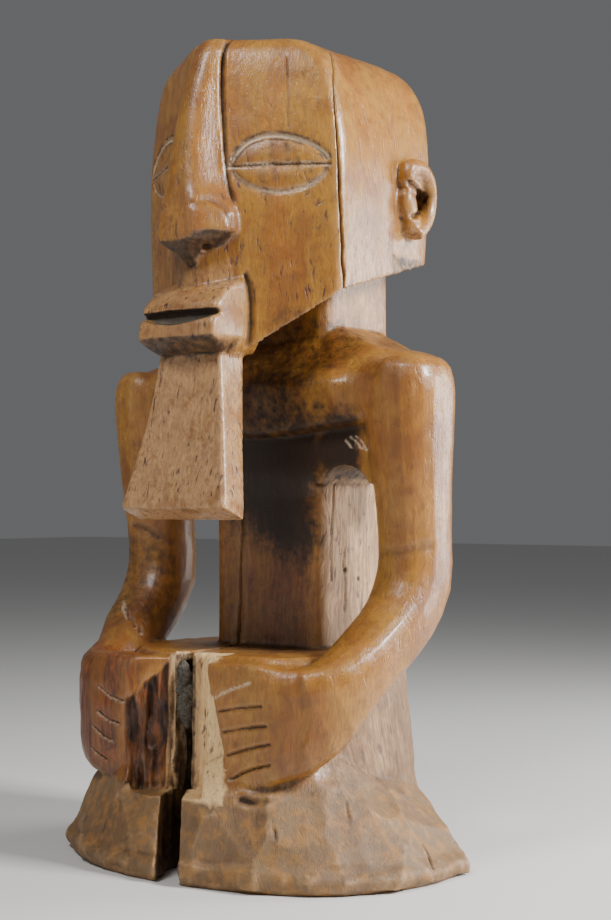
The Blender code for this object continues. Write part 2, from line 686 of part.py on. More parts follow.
def face_split_mesh():
    """The long narrow split at the left cheek's edge, from the crown to the jaw."""
    high = HEAD_SECTIONS[-1][0] + REACH
    stations = []
    for share in (0.0, 0.5, 1.0):
        z = high + (JAW_CORNER[1] - REACH - high) * share
        x = FACE_SPLIT_X[0] + (FACE_SPLIT_X[1] - FACE_SPLIT_X[0]) * share
        y = FACE_SPLIT_Y[0] + (FACE_SPLIT_Y[1] - FACE_SPLIT_Y[0]) * share
        top = FACE_SPLIT_TOP_SHARE
        half = FACE_SPLIT_WIDTH / 2 * (top + (1 - top) * share)
        out = np.array(FACE_SPLIT_OUT)
        along = np.array((-out[1], out[0]))
        mouth = np.array((x, y)) + out * REACH
        root = np.array((x, y)) - out * FACE_SPLIT_DEPTH
        a, b, c, d = (mouth - along * half, mouth + along * half, root + along * half * 0.5,
                      root - along * half * 0.5)
        stations.append([(*a, z), (*b, z), (*c, z), (*d, z)])
    return loft("face split", stations)


def trunk_split_mesh():
    """The narrow split down the front of chest and trunk, above the big one."""
    half = TRUNK_SPLIT_WIDTH / 2
    front = YOKE_SECTIONS[0][1] - REACH
    deep = TRUNK_FRONT_Y + TRUNK_SPLIT_DEPTH
    high = YOKE_SECTIONS[0][4] + REACH
    stations = []
    for share in (0.0, 0.5, 1.0):
        z = high + (LAP_TOP_HEIGHT - high) * share
        x = TRUNK_SPLIT_X[0] + (TRUNK_SPLIT_X[1] - TRUNK_SPLIT_X[0]) * share
        stations.append([(x - half, front, z), (x + half, front, z), (x + half * 0.4, deep, z),
                         (x - half * 0.4, deep, z)])
    return loft("trunk split", stations)


def combined(base, steps):
    """The mesh left by Booleans on base: steps pairs an operation with its solids, in order."""
    work = bpy.data.objects.new("work", base)
    bpy.context.scene.collection.objects.link(work)
    helpers = [work]
    for operation, meshes in steps:
        for mesh in meshes:
            other = bpy.data.objects.new(mesh.name, mesh)
            bpy.context.scene.collection.objects.link(other)
            helpers.append(other)
            boolean = work.modifiers.new(mesh.name, "BOOLEAN")
            boolean.operation = operation
            boolean.object = other
            boolean.solver = "EXACT"
    finished = bpy.data.meshes.new_from_object(
        work.evaluated_get(bpy.context.evaluated_depsgraph_get())
    )
    for helper in helpers:
        bpy.data.objects.remove(helper)
    return finished


def main():
    clear_scene()
    head = combined(head_mesh(), (
        ("DIFFERENCE", [jaw_cutter_mesh(), eye_mesh(1), eye_mesh(-1)]),
    ))
    chest = combined(chest_mesh(), (("DIFFERENCE", [arch_mesh(1), arch_mesh(-1)]),))
    forms = [
        lap_mesh(), trunk_mesh(), neck_mesh(), yoke_mesh(), chest, arm_mesh(1), arm_mesh(-1),
        head, nose_mesh(), muzzle_mesh(), beard_mesh(), ear_mesh(1), ear_mesh(-1),
    ]
    cuts = [
        lip_slit_mesh(), ear_hollow_mesh(1), ear_hollow_mesh(-1), log_split_mesh(),
        face_split_mesh(), trunk_split_mesh(), break_mesh(), *finger_cut_meshes(),
    ]
    carved = combined(base_mesh(), (("UNION", forms), ("DIFFERENCE", cuts)))
    carved.name = "figure"
    figure = bpy.data.objects.new("figure", carved)
    figure.location.y = -BASE_CENTRE_Y * MM
    bpy.context.scene.collection.objects.link(figure)
    carved.materials.clear()
    carved.materials.append(wood())
    carved.shade_smooth()
    carved.set_sharp_from_angle(angle=math.radians(SHARP_ANGLE))


if __name__ == "__main__":
    main()
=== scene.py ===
"""Surface, stains and light of a carved wooden power figure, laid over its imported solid.

Sizes in this file's tables are millimetres: +Z is up, the figure faces -Y and its left hand is
at +X. Meshes are written in metres.
"""

import math
from itertools import product

import bmesh
import bpy
import numpy as np
from bpy.props import FloatProperty, FloatVectorProperty, IntProperty, PointerProperty
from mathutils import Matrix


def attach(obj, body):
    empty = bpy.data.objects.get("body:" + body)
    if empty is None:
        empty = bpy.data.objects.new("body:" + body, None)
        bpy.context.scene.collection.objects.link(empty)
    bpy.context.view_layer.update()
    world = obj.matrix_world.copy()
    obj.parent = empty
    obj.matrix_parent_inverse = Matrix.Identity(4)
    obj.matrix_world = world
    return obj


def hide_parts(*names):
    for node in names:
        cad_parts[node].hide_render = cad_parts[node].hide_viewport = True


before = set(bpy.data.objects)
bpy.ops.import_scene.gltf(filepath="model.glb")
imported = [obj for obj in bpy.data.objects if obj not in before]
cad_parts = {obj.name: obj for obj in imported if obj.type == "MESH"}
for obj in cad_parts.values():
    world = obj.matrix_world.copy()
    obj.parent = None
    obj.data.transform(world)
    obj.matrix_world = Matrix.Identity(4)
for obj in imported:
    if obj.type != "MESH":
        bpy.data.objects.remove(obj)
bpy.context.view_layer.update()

bl_info = {
    "name": "Carved Power Figure",
    "version": (1, 0, 0),
    "blender": (4, 5, 0),
    "location": "View3D > Sidebar > Figure",
    "description": "Carves, stains and lights a wooden power figure over its packed solid",
    "category": "Object",
}

MM = 0.001

# The cell of the finest remeshing, in metres; easing is counted in rounds at this size.
FINEST = 0.0007
CELL_LIMITS = (0.0004, 0.004)

# The fewest and the most triangles that the finished carving may have.
FEWEST, MOST = 20000, 199000

# The middle of the left arm from shoulder to finger ends; the right one mirrors it.
ARM_LINE = (
    (60, 8, 186), (61, 8, 173), (61.6, 9.4, 142), (61.4, 11.4, 122),
    (61, 11.4, 105), (60.2, 3, 91.5), (58.4, -9, 81.2), (56, -20, 73),
    (53, -30.5, 63), (46, -37.2, 57.5), (36, -40.6, 56), (14, -41.2, 54),
)

# The eyes, as (middle across, height of the slit), left then right, and their arcs, as (half
# length, height of the ends over the slit, further rise of the middle, lean to the nose). The
# slit is (half length, rise), and a length across grows by the cheek's slant.
EYES = ((28.4, 253.6), (-26.8, 258.8))
LID_ARCS = ((14.8, 2.4, 8.4, 0.16), (14.4, -2.0, -7.4, 0.0))
EYE_SLIT = (15.8, 0.5)
CHEEK_SLANT = 1.165


def both_sides(*mark):
    """A mark whose path comes last, and its mirror image on the figure's other side."""
    return mark, mark[:-1] + (tuple((-x, y, z) for x, y, z in mark[-1]),)


# Knife lines, as (half width, depth, grime and painted shade, pale edge and painted highlight,
# path).
KNIFE_LINES = (
    # along both sides of the nose, down to the wings, dark as painted shadow in the grooves
    (0.75, 1.6, 1, 0, ((8.6, -30, 301), (9.2, -34.2, 294), (9.9, -35.6, 280), (10.8, -35.8, 266),
        (11.4, -35.4, 254), (12.8, -35.2, 246), (15.6, -35.2, 240.4))),
    (0.8, 1.4, 1, 0, ((-1.8, -35, 300.5), (-4, -38, 294), (-8, -36.7, 281), (-11.4, -35.6, 266),
        (-13.2, -34.8, 253), (-14.6, -34.6, 244.5), (-16.8, -34.8, 239.6))),
    # over the wings
    *both_sides(1.3, 0.7, 0.25, 0, ((6.6, -47.6, 238.8), (9.6, -44.6, 240.4), (13.4, -41, 239.2),
        (16.4, -39, 234.5), (17.3, -38.4, 230))),
    # where the muzzle leaves the cheeks
    (0.9, 1.2, 0.9, 0, ((17.4, -31.8, 214.6), (18.9, -31.4, 210), (19.3, -30.8, 202),
        (19, -31, 194), (18.2, -31.6, 187.5))),
    (0.9, 1.2, 0.9, 0, ((-17.4, -30.6, 214.6), (-18.9, -30.2, 210), (-19.3, -29.6, 202),
        (-19, -29.8, 194), (-18.2, -30.6, 187.5))),
    # the root of the beard under the lip, dark as painted shade under the lip, and the beard's
    # front arris
    (0.7, 0.4, 0.9, 0, ((-14, -42.4, 186.2), (0, -43.2, 186), (14.2, -42.4, 186.2))),
    (0.4, 0.4, 0.8, 0, ((15, -43, 184), (16.9, -44.6, 169.3), (20, -47.8, 151.5),
        (23.4, -51.8, 134.1))),
    # fingers of the left hand
    (0.55, 1.3, 1, 0.35, ((15.8, -47.6, 59.4), (26, -48.2, 61.6), (36.4, -48, 63))),
    (0.55, 1.3, 1, 0.35, ((18, -47.8, 52.4), (28, -48.2, 54.6), (38.4, -47.8, 56.3))),
    (0.55, 1.3, 1, 0.3, ((21, -47.8, 44.8), (30, -48, 47.6), (39.8, -47.3, 50.2))),
    (0.55, 1.3, 1, 0.3, ((23.6, -47.9, 37), (31, -47.8, 40.4), (39.7, -47.2, 42.9))),
    # fingers of the right hand
    (0.5, 1.3, 1, 0.4, ((-39.6, -47.8, 64.6), (-34, -48.2, 61.8), (-27.4, -48.2, 60.4))),
    (0.5, 1.3, 1, 0.4, ((-41, -47.2, 55.8), (-35.6, -48, 53.2), (-29.4, -48, 52))),
    (0.5, 1.3, 1, 0.4, ((-42.8, -47, 49.4), (-38, -47.8, 46.8), (-32, -48.1, 45.2))),
    (0.5, 1.3, 1, 0.4, ((-44.6, -46.3, 41.2), (-40.4, -47.2, 39.2), (-36.2, -47.6, 38))),
    # the notches of the ears beside the bump before the hollow
    *both_sides(0.9, 2.2, 1, 0, ((50.8, 24.4, 252.4), (50.8, 28, 251.8), (49.4, 32.4, 250))),
    *both_sides(0.8, 2, 1, 0, ((50.8, 25.6, 240), (50.8, 29, 240.8), (49.2, 32.4, 243))),
    # folds at the elbows
    (1.8, 0.55, 0.3, 0, ((52.4, 1.6, 113.2), (57, -1, 114.6), (65.4, -1.2, 115.6),
        (72.6, 4.6, 117.6))),
    (1.4, 0.8, 0.7, 0, ((-64.5, -2.6, 123.6), (-60, -2.4, 123), (-56, -1.4, 121.2),
        (-53.6, 0.4, 119.2))),
    # blade marks inside the right wrist
    (0.7, 0.9, 0.5, 0.7, ((-57.5, -15, 92), (-54, -17.2, 89.2), (-51.5, -18.2, 87))),
    (0.7, 0.9, 0.5, 0.7, ((-53.5, -15, 89.6), (-50.6, -17.6, 86.6), (-48.6, -18.6, 84.6))),
    (0.7, 0.9, 0.5, 0.7, ((-50.6, -13.4, 86.6), (-48.2, -16.2, 84.4), (-46.6, -17.6, 82.4))),
    (0.6, 0.8, 0.5, 0.6, ((-60.5, -12.5, 94.6), (-57.6, -14.6, 92.4), (-56, -15.8, 90.6))),
    # scratches in the left armpit
    (0.4, 0.4, 0, 1, ((40.6, 1, 157.4), (43.4, 1, 155.6), (45.4, 1, 153.2))),
    (0.4, 0.4, 0, 1, ((43, 1, 157.8), (46, 1, 155.4), (47.6, 0.8, 152.6))),
    (0.4, 0.4, 0, 0.8, ((38.6, 1, 156), (41, 1, 153.6))),
    # a scratch over the left hand
    (0.7, 0.3, 0, 0.8, ((15, -47.5, 64.9), (22.6, -48.2, 68.2), (31, -47.7, 71.2))),
    # fine checks in brow, temple, jaw and foot
    (0.35, 0.5, 0.8, 0, ((29.2, -23, 292.6), (30.3, -24, 279.2), (30.9, -24.4, 267.1))),
    (0.3, 0.3, 0.6, 0, ((13.8, -32.8, 270), (14.2, -32.6, 262), (14, -32.8, 252))),
    (0.3, 0.3, 0.5, 0, ((16.2, -31.8, 244), (16.6, -31.6, 232), (17.2, -31.2, 221))),
    (0.35, 0.25, 0.4, 0, ((40.6, 7, 291), (46, 2, 272.5))),
    (0.5, 1.2, 1, 0, ((73.2, -1, 13), (76, -1.6, 10), (79.2, -4.6, 6), (79.6, -5, 1))),
    (0.55, 0.8, 1, 0, ((-28, -50.6, 18.5), (-33.4, -55, 12.4), (-35.6, -56.4, 8))),
    (0.55, 0.8, 1, 0, ((-44, -44.6, 18), (-50, -50, 10.4), (-52, -51.6, 6))),
    (0.5, 0.8, 1, 0, ((40.6, -45.6, 25), (47, -50.6, 13.4), (49, -52.4, 8.4))),
    (0.5, 0.8, 1, 0, ((58, -26, 30), (65.5, -31.5, 16), (68, -33.4, 10))),
    (0.45, 0.7, 0.9, 0, ((10.5, -52, 20), (14, -57.6, 11.5))),
    # the gap between the left hand and the foot, dark as painted shade under the hand
    (1.4, 2.2, 1, 0, ((29, -49, 30.6), (36, -48.2, 30.6), (44, -45.4, 32.6))),
    # cracks down the trunk's left side
    (0.5, 0.8, 1, 0, ((26.2, 8.6, 147), (26.3, 10.2, 138), (26.3, 9.2, 127), (26.4, 8.2, 116),
        (26.4, 8.8, 104))),
    (0.35, 0.4, 0.9, 0, ((26.2, 14, 152), (26.3, 11.8, 145), (26.3, 12.4, 136))),
    (0.45, 0.7, 1, 0, ((26.3, 17.4, 116), (26.3, 16.4, 109), (26.3, 18, 103), (26.3, 17.2, 92))),
    (0.35, 0.4, 0.8, 0, ((26.3, 25.4, 113), (26.3, 26.4, 104), (26.3, 25.6, 96))),
    (0.7, 0.8, 0.5, 0, ((40, -47, 30.6), (49, -43, 36), (56, -35, 44))),
)

# Round pits, as (radius, depth, grime and painted shade, place as a path of one point).
PITS = (
    # nostrils, dark as painted shade in the holes
    (2.1, 3.4, 1, ((7.4, -41, 223.8),)), (2.1, 3.4, 1, ((-7.8, -41, 224),)),
    # worm holes in the trunk's left side
    (1, 1, 1, ((26.2, 17.9, 107.6),)), (0.9, 0.8, 0.9, ((26.2, 26.7, 103.9),)),
    # hollows of the ears, dark as painted shade in the hollows
    *both_sides(3.8, 3.4, 1, ((48, 33.2, 248),)),
    *both_sides(1.8, 1.2, 0.9, ((48.6, 32.6, 243.4),)),
    # nicks in the cheek
    (0.7, 0.3, 0.6, ((26.4, -22.9, 224),)), (0.6, 0.3, 0.5, ((12.6, -31.4, 228),)),
)

# Splits to cut open, as (half width at the top, the same at the foot, way out of the wood, depth,
# path at the mouth).
FACE_SPLIT = (0.38, 0.95, (0.8, -0.6, 0), 8, (
    (39.4, -8.6, 297), (42.8, -13.1, 286), (45.2, -15.7, 274), (46.3, -15.7, 262),
    (47, -15.2, 245), (47.5, -14.4, 228), (47.6, -13.4, 214), (47.2, -12, 200),
))
BODY_SPLIT = (0.75, 0.95, (0, -1, 0), 9, (
    (-9, 1, 206), (-9.8, -2, 186), (-10.6, -1, 165), (-11.5, 1, 141.8),
    (-12.2, 3, 124.5), (-13, 3, 103), (-14, 3, 76),
))

# The right hand's break: a point of its face, and the way the face looks.
BREAK_FACE = ((-20.0, -44.3, 55.0), (0.467, -0.884, 0.0))

# Edges as (heights, places across): the right hand's smooth skin at the break, and the clean
# strip beside the left hand.
SKIN_EDGE = ((30.0, 44.0, 58.0, 66.0, 76.0), (-21.5, -26.5, -27.5, -20.5, -12.0))
STRIP_EDGE = ((31.5, 45.0, 60.0, 75.0), (23.6, 19.0, 15.6, 11.8))

# The underside of the hands, as (distances from the middle, heights).
HANDS_UNDERSIDE = ((18.0, 40.0, 54.0, 60.0), (30.5, 33.5, 42.0, 48.0))

# The big split seen from above, as (places from front to back, its middle, its half width), and
# how high and how far back it goes.
BIG_SPLIT = ((-62, -46, -36, -23, 8), (6.4, -4.0, -6.2, -9.4, -15.0), (5.6, 4.6, 3.6, 2.1, 0.9))
BIG_SPLIT_TOP = 77.8
BIG_SPLIT_BACK = 10.0

# The lids' swelling: half its length and height; and the box around an eye that is worked.
LID_HALF = (14.0, 10.0)
EYE_PLACE_Y, EYE_REACH = -24.0, (22.0, 20.0, 17.0)

# The mouth's slit: half width, from front to back, its straight upper edge, and the height of
# the lower one at the ends with its sag in the middle.
MOUTH_HALF, MOUTH_DEPTH, MOUTH_TOP, MOUTH_SAG = 17.0, (-50.4, -44.6), 201.6, (200.6, 4.8)

# Soft borders between the parts, as heights (from, to); the arms' is a distance from ARM_LINE.
FOOT_BORDER = (31.0, 38.0)
LAP_BORDER = (76.0, 79.0)
TORSO_BORDER = (200.0, 205.0)
HEAD_BORDER = (203.0, 206.0)
ARM_BORDER = (17.5, 20.5)

# Parts between two heights.
RIM = (1.0, 9.0)
LAP = (36.0, 78.0)
LAP_LEDGE = (74.0, 80.0)
TRUNK = (70.0, 150.0)
BARE_SIDES = (74.0, 150.0)
SHADED_FOREARM = (90.0, 118.0)
BEARD = (128.0, 186.0)
BELLY = (134.0, 146.0)
UNDER_CHEST = (138.0, 178.0)
CHEST = (150.0, 181.0)
SHOULDERS = (168.0, 186.0)
DOTTED_YOKE = (176.0, 203.0)
COLLAR = (184.0, 204.0)
LIPS = (184.0, 216.0)
MUZZLE = (185.0, 234.0)
NECK = (197.0, 230.0)
JAW_CORNER = (217.0, 225.0)
EYE_BAND = (238.0, 270.0)
EYE_CUTS = (241.0, 272.0)
NOSE_RIDGE = (246.0, 296.0)

# The sizes of the cells that tool marks are scattered in, and the seeds of what two places read.
ADZE_CELL, ADZE_SEED = (14.0, 14.0, 22.0), 5
KNIFE_CELL = (8.0, 8.0, 30.0)
CHIP_CELL = (13.0, 13.0, 9.0)
GOUGE_CELL, GOUGE_SEED = (3.6, 3.6, 13.0), 37

# The grey filling: its top's middle, its run down to its foot, and its half widths.
FILLING_TOP = (-7.6, -36.6, 75.6)
FILLING_RUN = (0.6, 1.4, -25.0)
FILLING_HALF = (3.4, 3.6, 0.0)


def ramp(low, high, value):
    """An S-shaped ramp from 0 at low to 1 at high, level past both; low may be the larger."""
    t = np.clip((value - low) / (high - low), 0.0, 1.0)
    return t * t * (3.0 - 2.0 * t)


def fade(low, high, value):
    """The ramp turned round: 1 at low and 0 at high."""
    return 1.0 - ramp(low, high, value)


def within(low, high, soft, value):
    """1 between low and high, falling to 0 over a soft margin outside them."""
    return ramp(low - soft, low, value) * fade(high, high + soft, value)


def bell(value, half, middle=0.0):
    """A bell-shaped bump of height 1 at middle, from exp(-((value - middle) / half)^2)."""
    return np.exp(-(((value - middle) / half) ** 2))


def cell_number(cell, seed):
    """A repeatable number from 0 to 1 for each cell of a grid, from its three whole indices."""
    mixed = (cell[:, 0] * 73856093) ^ (cell[:, 1] * 19349663) ^ (cell[:, 2] * 83492791)
    mixed = (mixed ^ (seed * 2654435761)) & 0xFFFFFFFF
    mixed = ((mixed ^ (mixed >> 13)) * 1274126177) & 0xFFFFFFFF
    return (mixed ^ (mixed >> 16)) / 4294967295.0


def soft_noise(points, size, seed=0):
    """Random numbers at the corners of cells of that size, joined by S-shaped ramps; -1 to 1."""
    scaled = points / np.asarray(size, float) + 500.0
    low = np.floor(scaled).astype(np.int64)
    part = scaled - low
    part = part * part * (3.0 - 2.0 * part)
    total = np.zeros(len(points))
    for corner in product((0, 1), repeat=3):
        corner = np.array(corner)
        share = np.prod(np.where(corner, part, 1.0 - part), axis=1)
        total += share * cell_number(low + corner, seed)
    return 2.0 * total - 1.0


def layered_noise(points, size, seed=0, layers=3):
    """Soft noise with finer and fainter copies of itself added."""
    size = np.asarray(size, float)
    total = sum(soft_noise(points, size / 2**i, seed + i) / 2**i for i in range(layers))
    return total / sum(1 / 2**i for i in range(layers))


def seed_distance(points, size, seed=0):
    """Each point's distance from the nearest scattered seed, in cells, and that seed's number."""
    scaled = points / np.asarray(size, float) + 500.0
    low = np.floor(scaled).astype(np.int64)
    best, number = np.full(len(points), 9.0), np.zeros(len(points))
    for step in product((-1, 0, 1), repeat=3):
        cell = low + np.array(step)
        spot = cell + np.stack([cell_number(cell, seed + i) for i in range(3)], axis=1)
        gap = ((spot - scaled) ** 2).sum(axis=1)
        number = np.where(gap < best, cell_number(cell, seed + 3), number)
        best = np.minimum(best, gap)
    return np.sqrt(best), number


def scoops(points, cell, seed, most, level):
    """The squared distance to the nearest scattered seed, so that scoops meet in ridges."""
    return np.clip(seed_distance(points, cell, seed)[0], 0.0, most) ** 2 - level


def path_distance(points, path):
    """Each point's distance to a path of straight runs."""
    best = np.full(len(points), 1e9)
    path = np.asarray(path, float)
    for start, end in zip(path, path[1:]):
        along = end - start
        share = np.clip((points - start) @ along / (along @ along), 0.0, 1.0)
        gap = points - (start + share[:, None] * along)
        best = np.minimum(best, (gap * gap).sum(axis=1))
    return np.sqrt(best)


def close_to(points, path, reach):
    """The indices of the points in the box around a path, grown by reach."""
    path = np.asarray(path, float)
    inside = (points > path.min(axis=0) - reach) & (points < path.max(axis=0) + reach)
    return np.flatnonzero(inside.all(axis=1))


def curved(path, steps):
    """A smooth curve through the given points (Catmull-Rom), with steps points in each run."""
    path = np.asarray(path, float)
    padded = np.vstack([2 * path[0] - path[1], path, 2 * path[-1] - path[-2]])
    a, b, c, d = (padded[i : len(padded) - 3 + i, None] for i in range(4))
    t = (np.arange(steps) / steps)[None, :, None]
    curve = 0.5 * (2 * b + (c - a) * t + (2 * a - 5 * b + 4 * c - d) * t**2
                   + (3 * b - a - 3 * c + d) * t**3)
    return np.vstack([curve.reshape(-1, path.shape[1]), path[-1:]])


def rows_of(items, field, width, kind=np.float32):
    """One field of all the items of a mesh, as rows of that width."""
    out = np.empty(len(items) * width, kind)
    items.foreach_get(field, out)
    return out.reshape(-1, width)


def points_of(mesh):
    """All the vertices of a mesh in millimetres."""
    return rows_of(mesh.vertices, "co", 3).astype(float) / MM


def normals_of(mesh):
    return rows_of(mesh.vertex_normals, "vector", 3).astype(float)


def edges_of(mesh):
    return rows_of(mesh.edges, "vertices", 2, np.int32)


def set_points(mesh, points):
    mesh.vertices.foreach_set("co", (points * MM).astype(np.float32).ravel())
    mesh.update()


def relaxed(values, edges, rounds, strength=0.5):
    """Values moved towards the mean of their neighbours along edges, again and again."""
    count = len(values)
    near, far = np.concatenate([edges, edges[:, ::-1]]).T.copy()
    degree = np.maximum(np.bincount(near, minlength=count), 1)
    values = values.reshape(count, -1).copy()
    for _ in range(rounds):
        for column in range(values.shape[1]):
            mean = np.bincount(near, weights=values[far, column], minlength=count) / degree
            values[:, column] += strength * (mean - values[:, column])
    return values


def melted(points, edges, share, rounds):
    """Points relaxed many times over where share is above 0, and moved there by that share."""
    chosen = np.flatnonzero(share > 0.0)
    place = np.full(len(points), -1)
    place[chosen] = np.arange(len(chosen))
    inner = place[edges]
    inner = inner[(inner >= 0).all(axis=1)]
    soft = relaxed(points[chosen], inner, rounds)
    out = points.copy()
    out[chosen] += (soft - points[chosen]) * share[chosen, None]
    return out


def linked(name, mesh):
    made = bpy.data.objects.new(name, mesh)
    bpy.context.scene.collection.objects.link(made)
    return made


def applied(piece, kind, **settings):
    """A piece's mesh after one modifier, which isn't kept."""
    modifier = piece.modifiers.new(kind.lower(), kind)
    for key, value in settings.items():
        setattr(modifier, key, value)
    depsgraph = bpy.context.evaluated_depsgraph_get()
    mesh = bpy.data.meshes.new_from_object(piece.evaluated_get(depsgraph))
    piece.modifiers.clear()
    piece.data = mesh
    return mesh


def merged_copy(name, node):
    """A CAD node's triangles as one closed mesh of a new object."""
    form = bmesh.new()
    form.from_mesh(node.data)
    bmesh.ops.remove_doubles(form, verts=form.verts, dist=1e-6)
    mesh = bpy.data.meshes.new(name)
    form.to_mesh(mesh)
    form.free()
    return linked(name, mesh)


def split_wedge(half_top, half_foot, out, depth, path, seed):
    """A long jagged wedge along a path, to cut a split open.

    At each step four points: the mouth's two sides, out of the wood, and the root's two sides at
    the depth. Its half width runs from half_top to half_foot, and noise shifts and widens it.
    """
    line = curved(path, 14)
    out = np.asarray(out, float)
    across = np.cross(np.gradient(line, axis=0), out)
    across /= np.linalg.norm(across, axis=1)[:, None]
    share = np.linspace(0.0, 1.0, len(line))
    heights = line * (0.0, 0.0, 1.0)
    shift = 0.32 * soft_noise(heights, 5.0, seed) + 0.16 * soft_noise(heights, 1.7, seed + 1)
    widen = 1 + 0.3 * soft_noise(heights, 3.1, seed + 2)
    half = across * ((half_top + (half_foot - half_top) * share) * widen)[:, None]
    middle = line + across * shift[:, None]
    mouth, root = middle + out * 6.0, middle - out * depth
    sides = [mouth + half, mouth - half, root - half * 0.35, root + half * 0.35]
    return tube("split", np.stack(sides, axis=1))


def tube(name, grid):
    """A closed mesh from rings of points, [ring, point, xyz] in millimetres, with flat ends."""
    rings, around = grid.shape[:2]
    index = np.arange(rings * around).reshape(rings, around)
    ahead = np.roll(index, -1, axis=1)
    walls = np.stack([index[:-1], ahead[:-1], ahead[1:], index[1:]], axis=-1).reshape(-1, 4)
    faces = walls.tolist() + [index[0, ::-1].tolist(), index[-1].tolist()]
    mesh = bpy.data.meshes.new(name)
    mesh.from_pydata((grid.reshape(-1, 3) * MM).tolist(), [], faces)
    form = bmesh.new()
    form.from_mesh(mesh)
    bmesh.ops.recalc_face_normals(form, faces=form.faces)
    form.to_mesh(mesh)
    form.free()
    return mesh


def lid_arc(eye, arc):
    """An arc of the almond as points (across along the cheek, height).

    Across runs by the cosine of an angle and height by its sine, over two blunt ends.
    """
    middle, level = eye
    half, ends, rise, lean = arc
    angle = np.linspace(0.0, math.pi, 17)
    across = abs(middle) + half * np.cos(angle) - lean * half * np.sin(angle) ** 2
    return np.stack([across * CHEEK_SLANT, level + ends + rise * np.sin(angle) ** 1.5], axis=1)


def eye_carving(points, normals):
    """Depth, grime and pale edge of the incised eyes, by distance in the plane of the cheek.

    u and v run from -1 to 1 across the almond and up it.
    """
    shift, grime, pale = (np.zeros(len(points)) for _ in range(3))
    for eye in EYES:
        side = math.copysign(1.0, eye[0])
        spot = np.abs(points - (eye[0], EYE_PLACE_Y, eye[1]))
        chosen = np.flatnonzero((spot < EYE_REACH).all(axis=1) & (normals[:, 1] < -0.3))
        part = points[chosen]
        plane = np.stack([part[:, 0] * side * CHEEK_SLANT, part[:, 2]], axis=1)
        waver = np.stack([soft_noise(part, 3.0, 3), soft_noise(part, 3.0, 4)], axis=1)
        plane = plane + 0.14 * waver
        upper, lower = (path_distance(plane, lid_arc(eye, arc)) for arc in LID_ARCS)
        reach, lift = EYE_SLIT
        middle = abs(eye[0]) * CHEEK_SLANT
        slit = path_distance(plane, (
            (middle - reach * CHEEK_SLANT, eye[1]), (middle - 4.0, eye[1] + lift),
            (middle + reach * CHEEK_SLANT, eye[1]),
        ))
        wide = 0.95 + 0.2 * soft_noise(part, 4.0, 8)
        cut = 1.15 * bell(upper, wide) + 0.7 * bell(lower, 0.7) + 0.9 * bell(slit, 0.5)
        u = (plane[:, 0] - middle) / (LID_HALF[0] * CHEEK_SLANT)
        v = (plane[:, 1] - eye[1]) / LID_HALF[1]
        inside = np.clip(1.0 - u**2 - v**2, 0.0, 1.0)
        bulge = 0.55 * inside * np.clip(np.abs(v) * 3.0, 0.0, 1.0)
        shift[chosen] += bulge - cut
        # dirt beside the arcs, bared wood in them, ticks across the lids and a broken pale edge
        over = bell(upper, 0.5, 1.25) * (soft_noise(part, 1.9, 9) > -0.1)
        under = bell(lower, 0.45, 0.8) * (soft_noise(part, 1.9, 10) > 0.0)
        grime[chosen] += 0.95 * over + 0.6 * under + 0.95 * bell(slit, 0.42)
        pale[chosen] += bell(upper, 0.65) + 0.5 * bell(lower, 0.45)
        lean = soft_noise(part, (5.0, 5.0, 9.0), 14)
        tick = bell(((u * 3.6 + 0.5 * lean) % 1.0 - 0.5) * 4.8, 0.55)
        shown = ramp(0.0, 0.3, soft_noise(part, (4.0, 4.0, 3.0), 15)) * ramp(0.04, 0.2, inside)
        grime[chosen] += 0.75 * tick * shown
        dash = (soft_noise(part, (2.6, 2.6, 4.0), 12) > -0.1) * bell(slit, 0.28, 0.5)
        pale[chosen] += 0.55 * dash
    return shift, grime, pale


def line_carving(points):
    """Depth, grime and pale edge of all the knife lines and pits, by distance to their paths.

    A line is a bell-shaped groove with a low raised rim beside it. Its dark is grime, and painted
    shade where the groove would lie in shadow; the rim below the line is painted pale, as bared
    wood and as a painted highlight where light would catch it. A pit's dark is grime, and painted
    shade in the nostrils and ears.
    """
    shift, grime, pale = (np.zeros(len(points)) for _ in range(3))
    for half, depth, dark, light, path in KNIFE_LINES:
        path = curved(path, 5)
        chosen = close_to(points, path, half * 3.5)
        part = points[chosen]
        gap = path_distance(part, path) + 0.12 * half * soft_noise(part, 2.0, 11)
        shift[chosen] -= depth * bell(gap, half)
        shift[chosen] += 0.12 * depth * bell(gap, half, 1.9 * half)
        grime[chosen] += dark * bell(gap, 0.75 * half)
        order = np.argsort(path[:, 0])
        under = part[:, 2] < np.interp(part[:, 0], path[order, 0], path[order, 2])
        pale[chosen] += light * under * bell(gap, 0.5 * half, 1.2 * half)
    for radius, depth, dark, place in PITS:
        chosen = close_to(points, place, radius * 2.5)
        gap = np.linalg.norm(points[chosen] - place, axis=1)
        gap += 0.25 * radius * soft_noise(points[chosen], 1.5, 13)
        shift[chosen] -= depth * fade(0.45 * radius, 1.15 * radius, gap)
        grime[chosen] += dark * fade(0.7 * radius, 1.5 * radius, gap)
    return shift, grime, pale


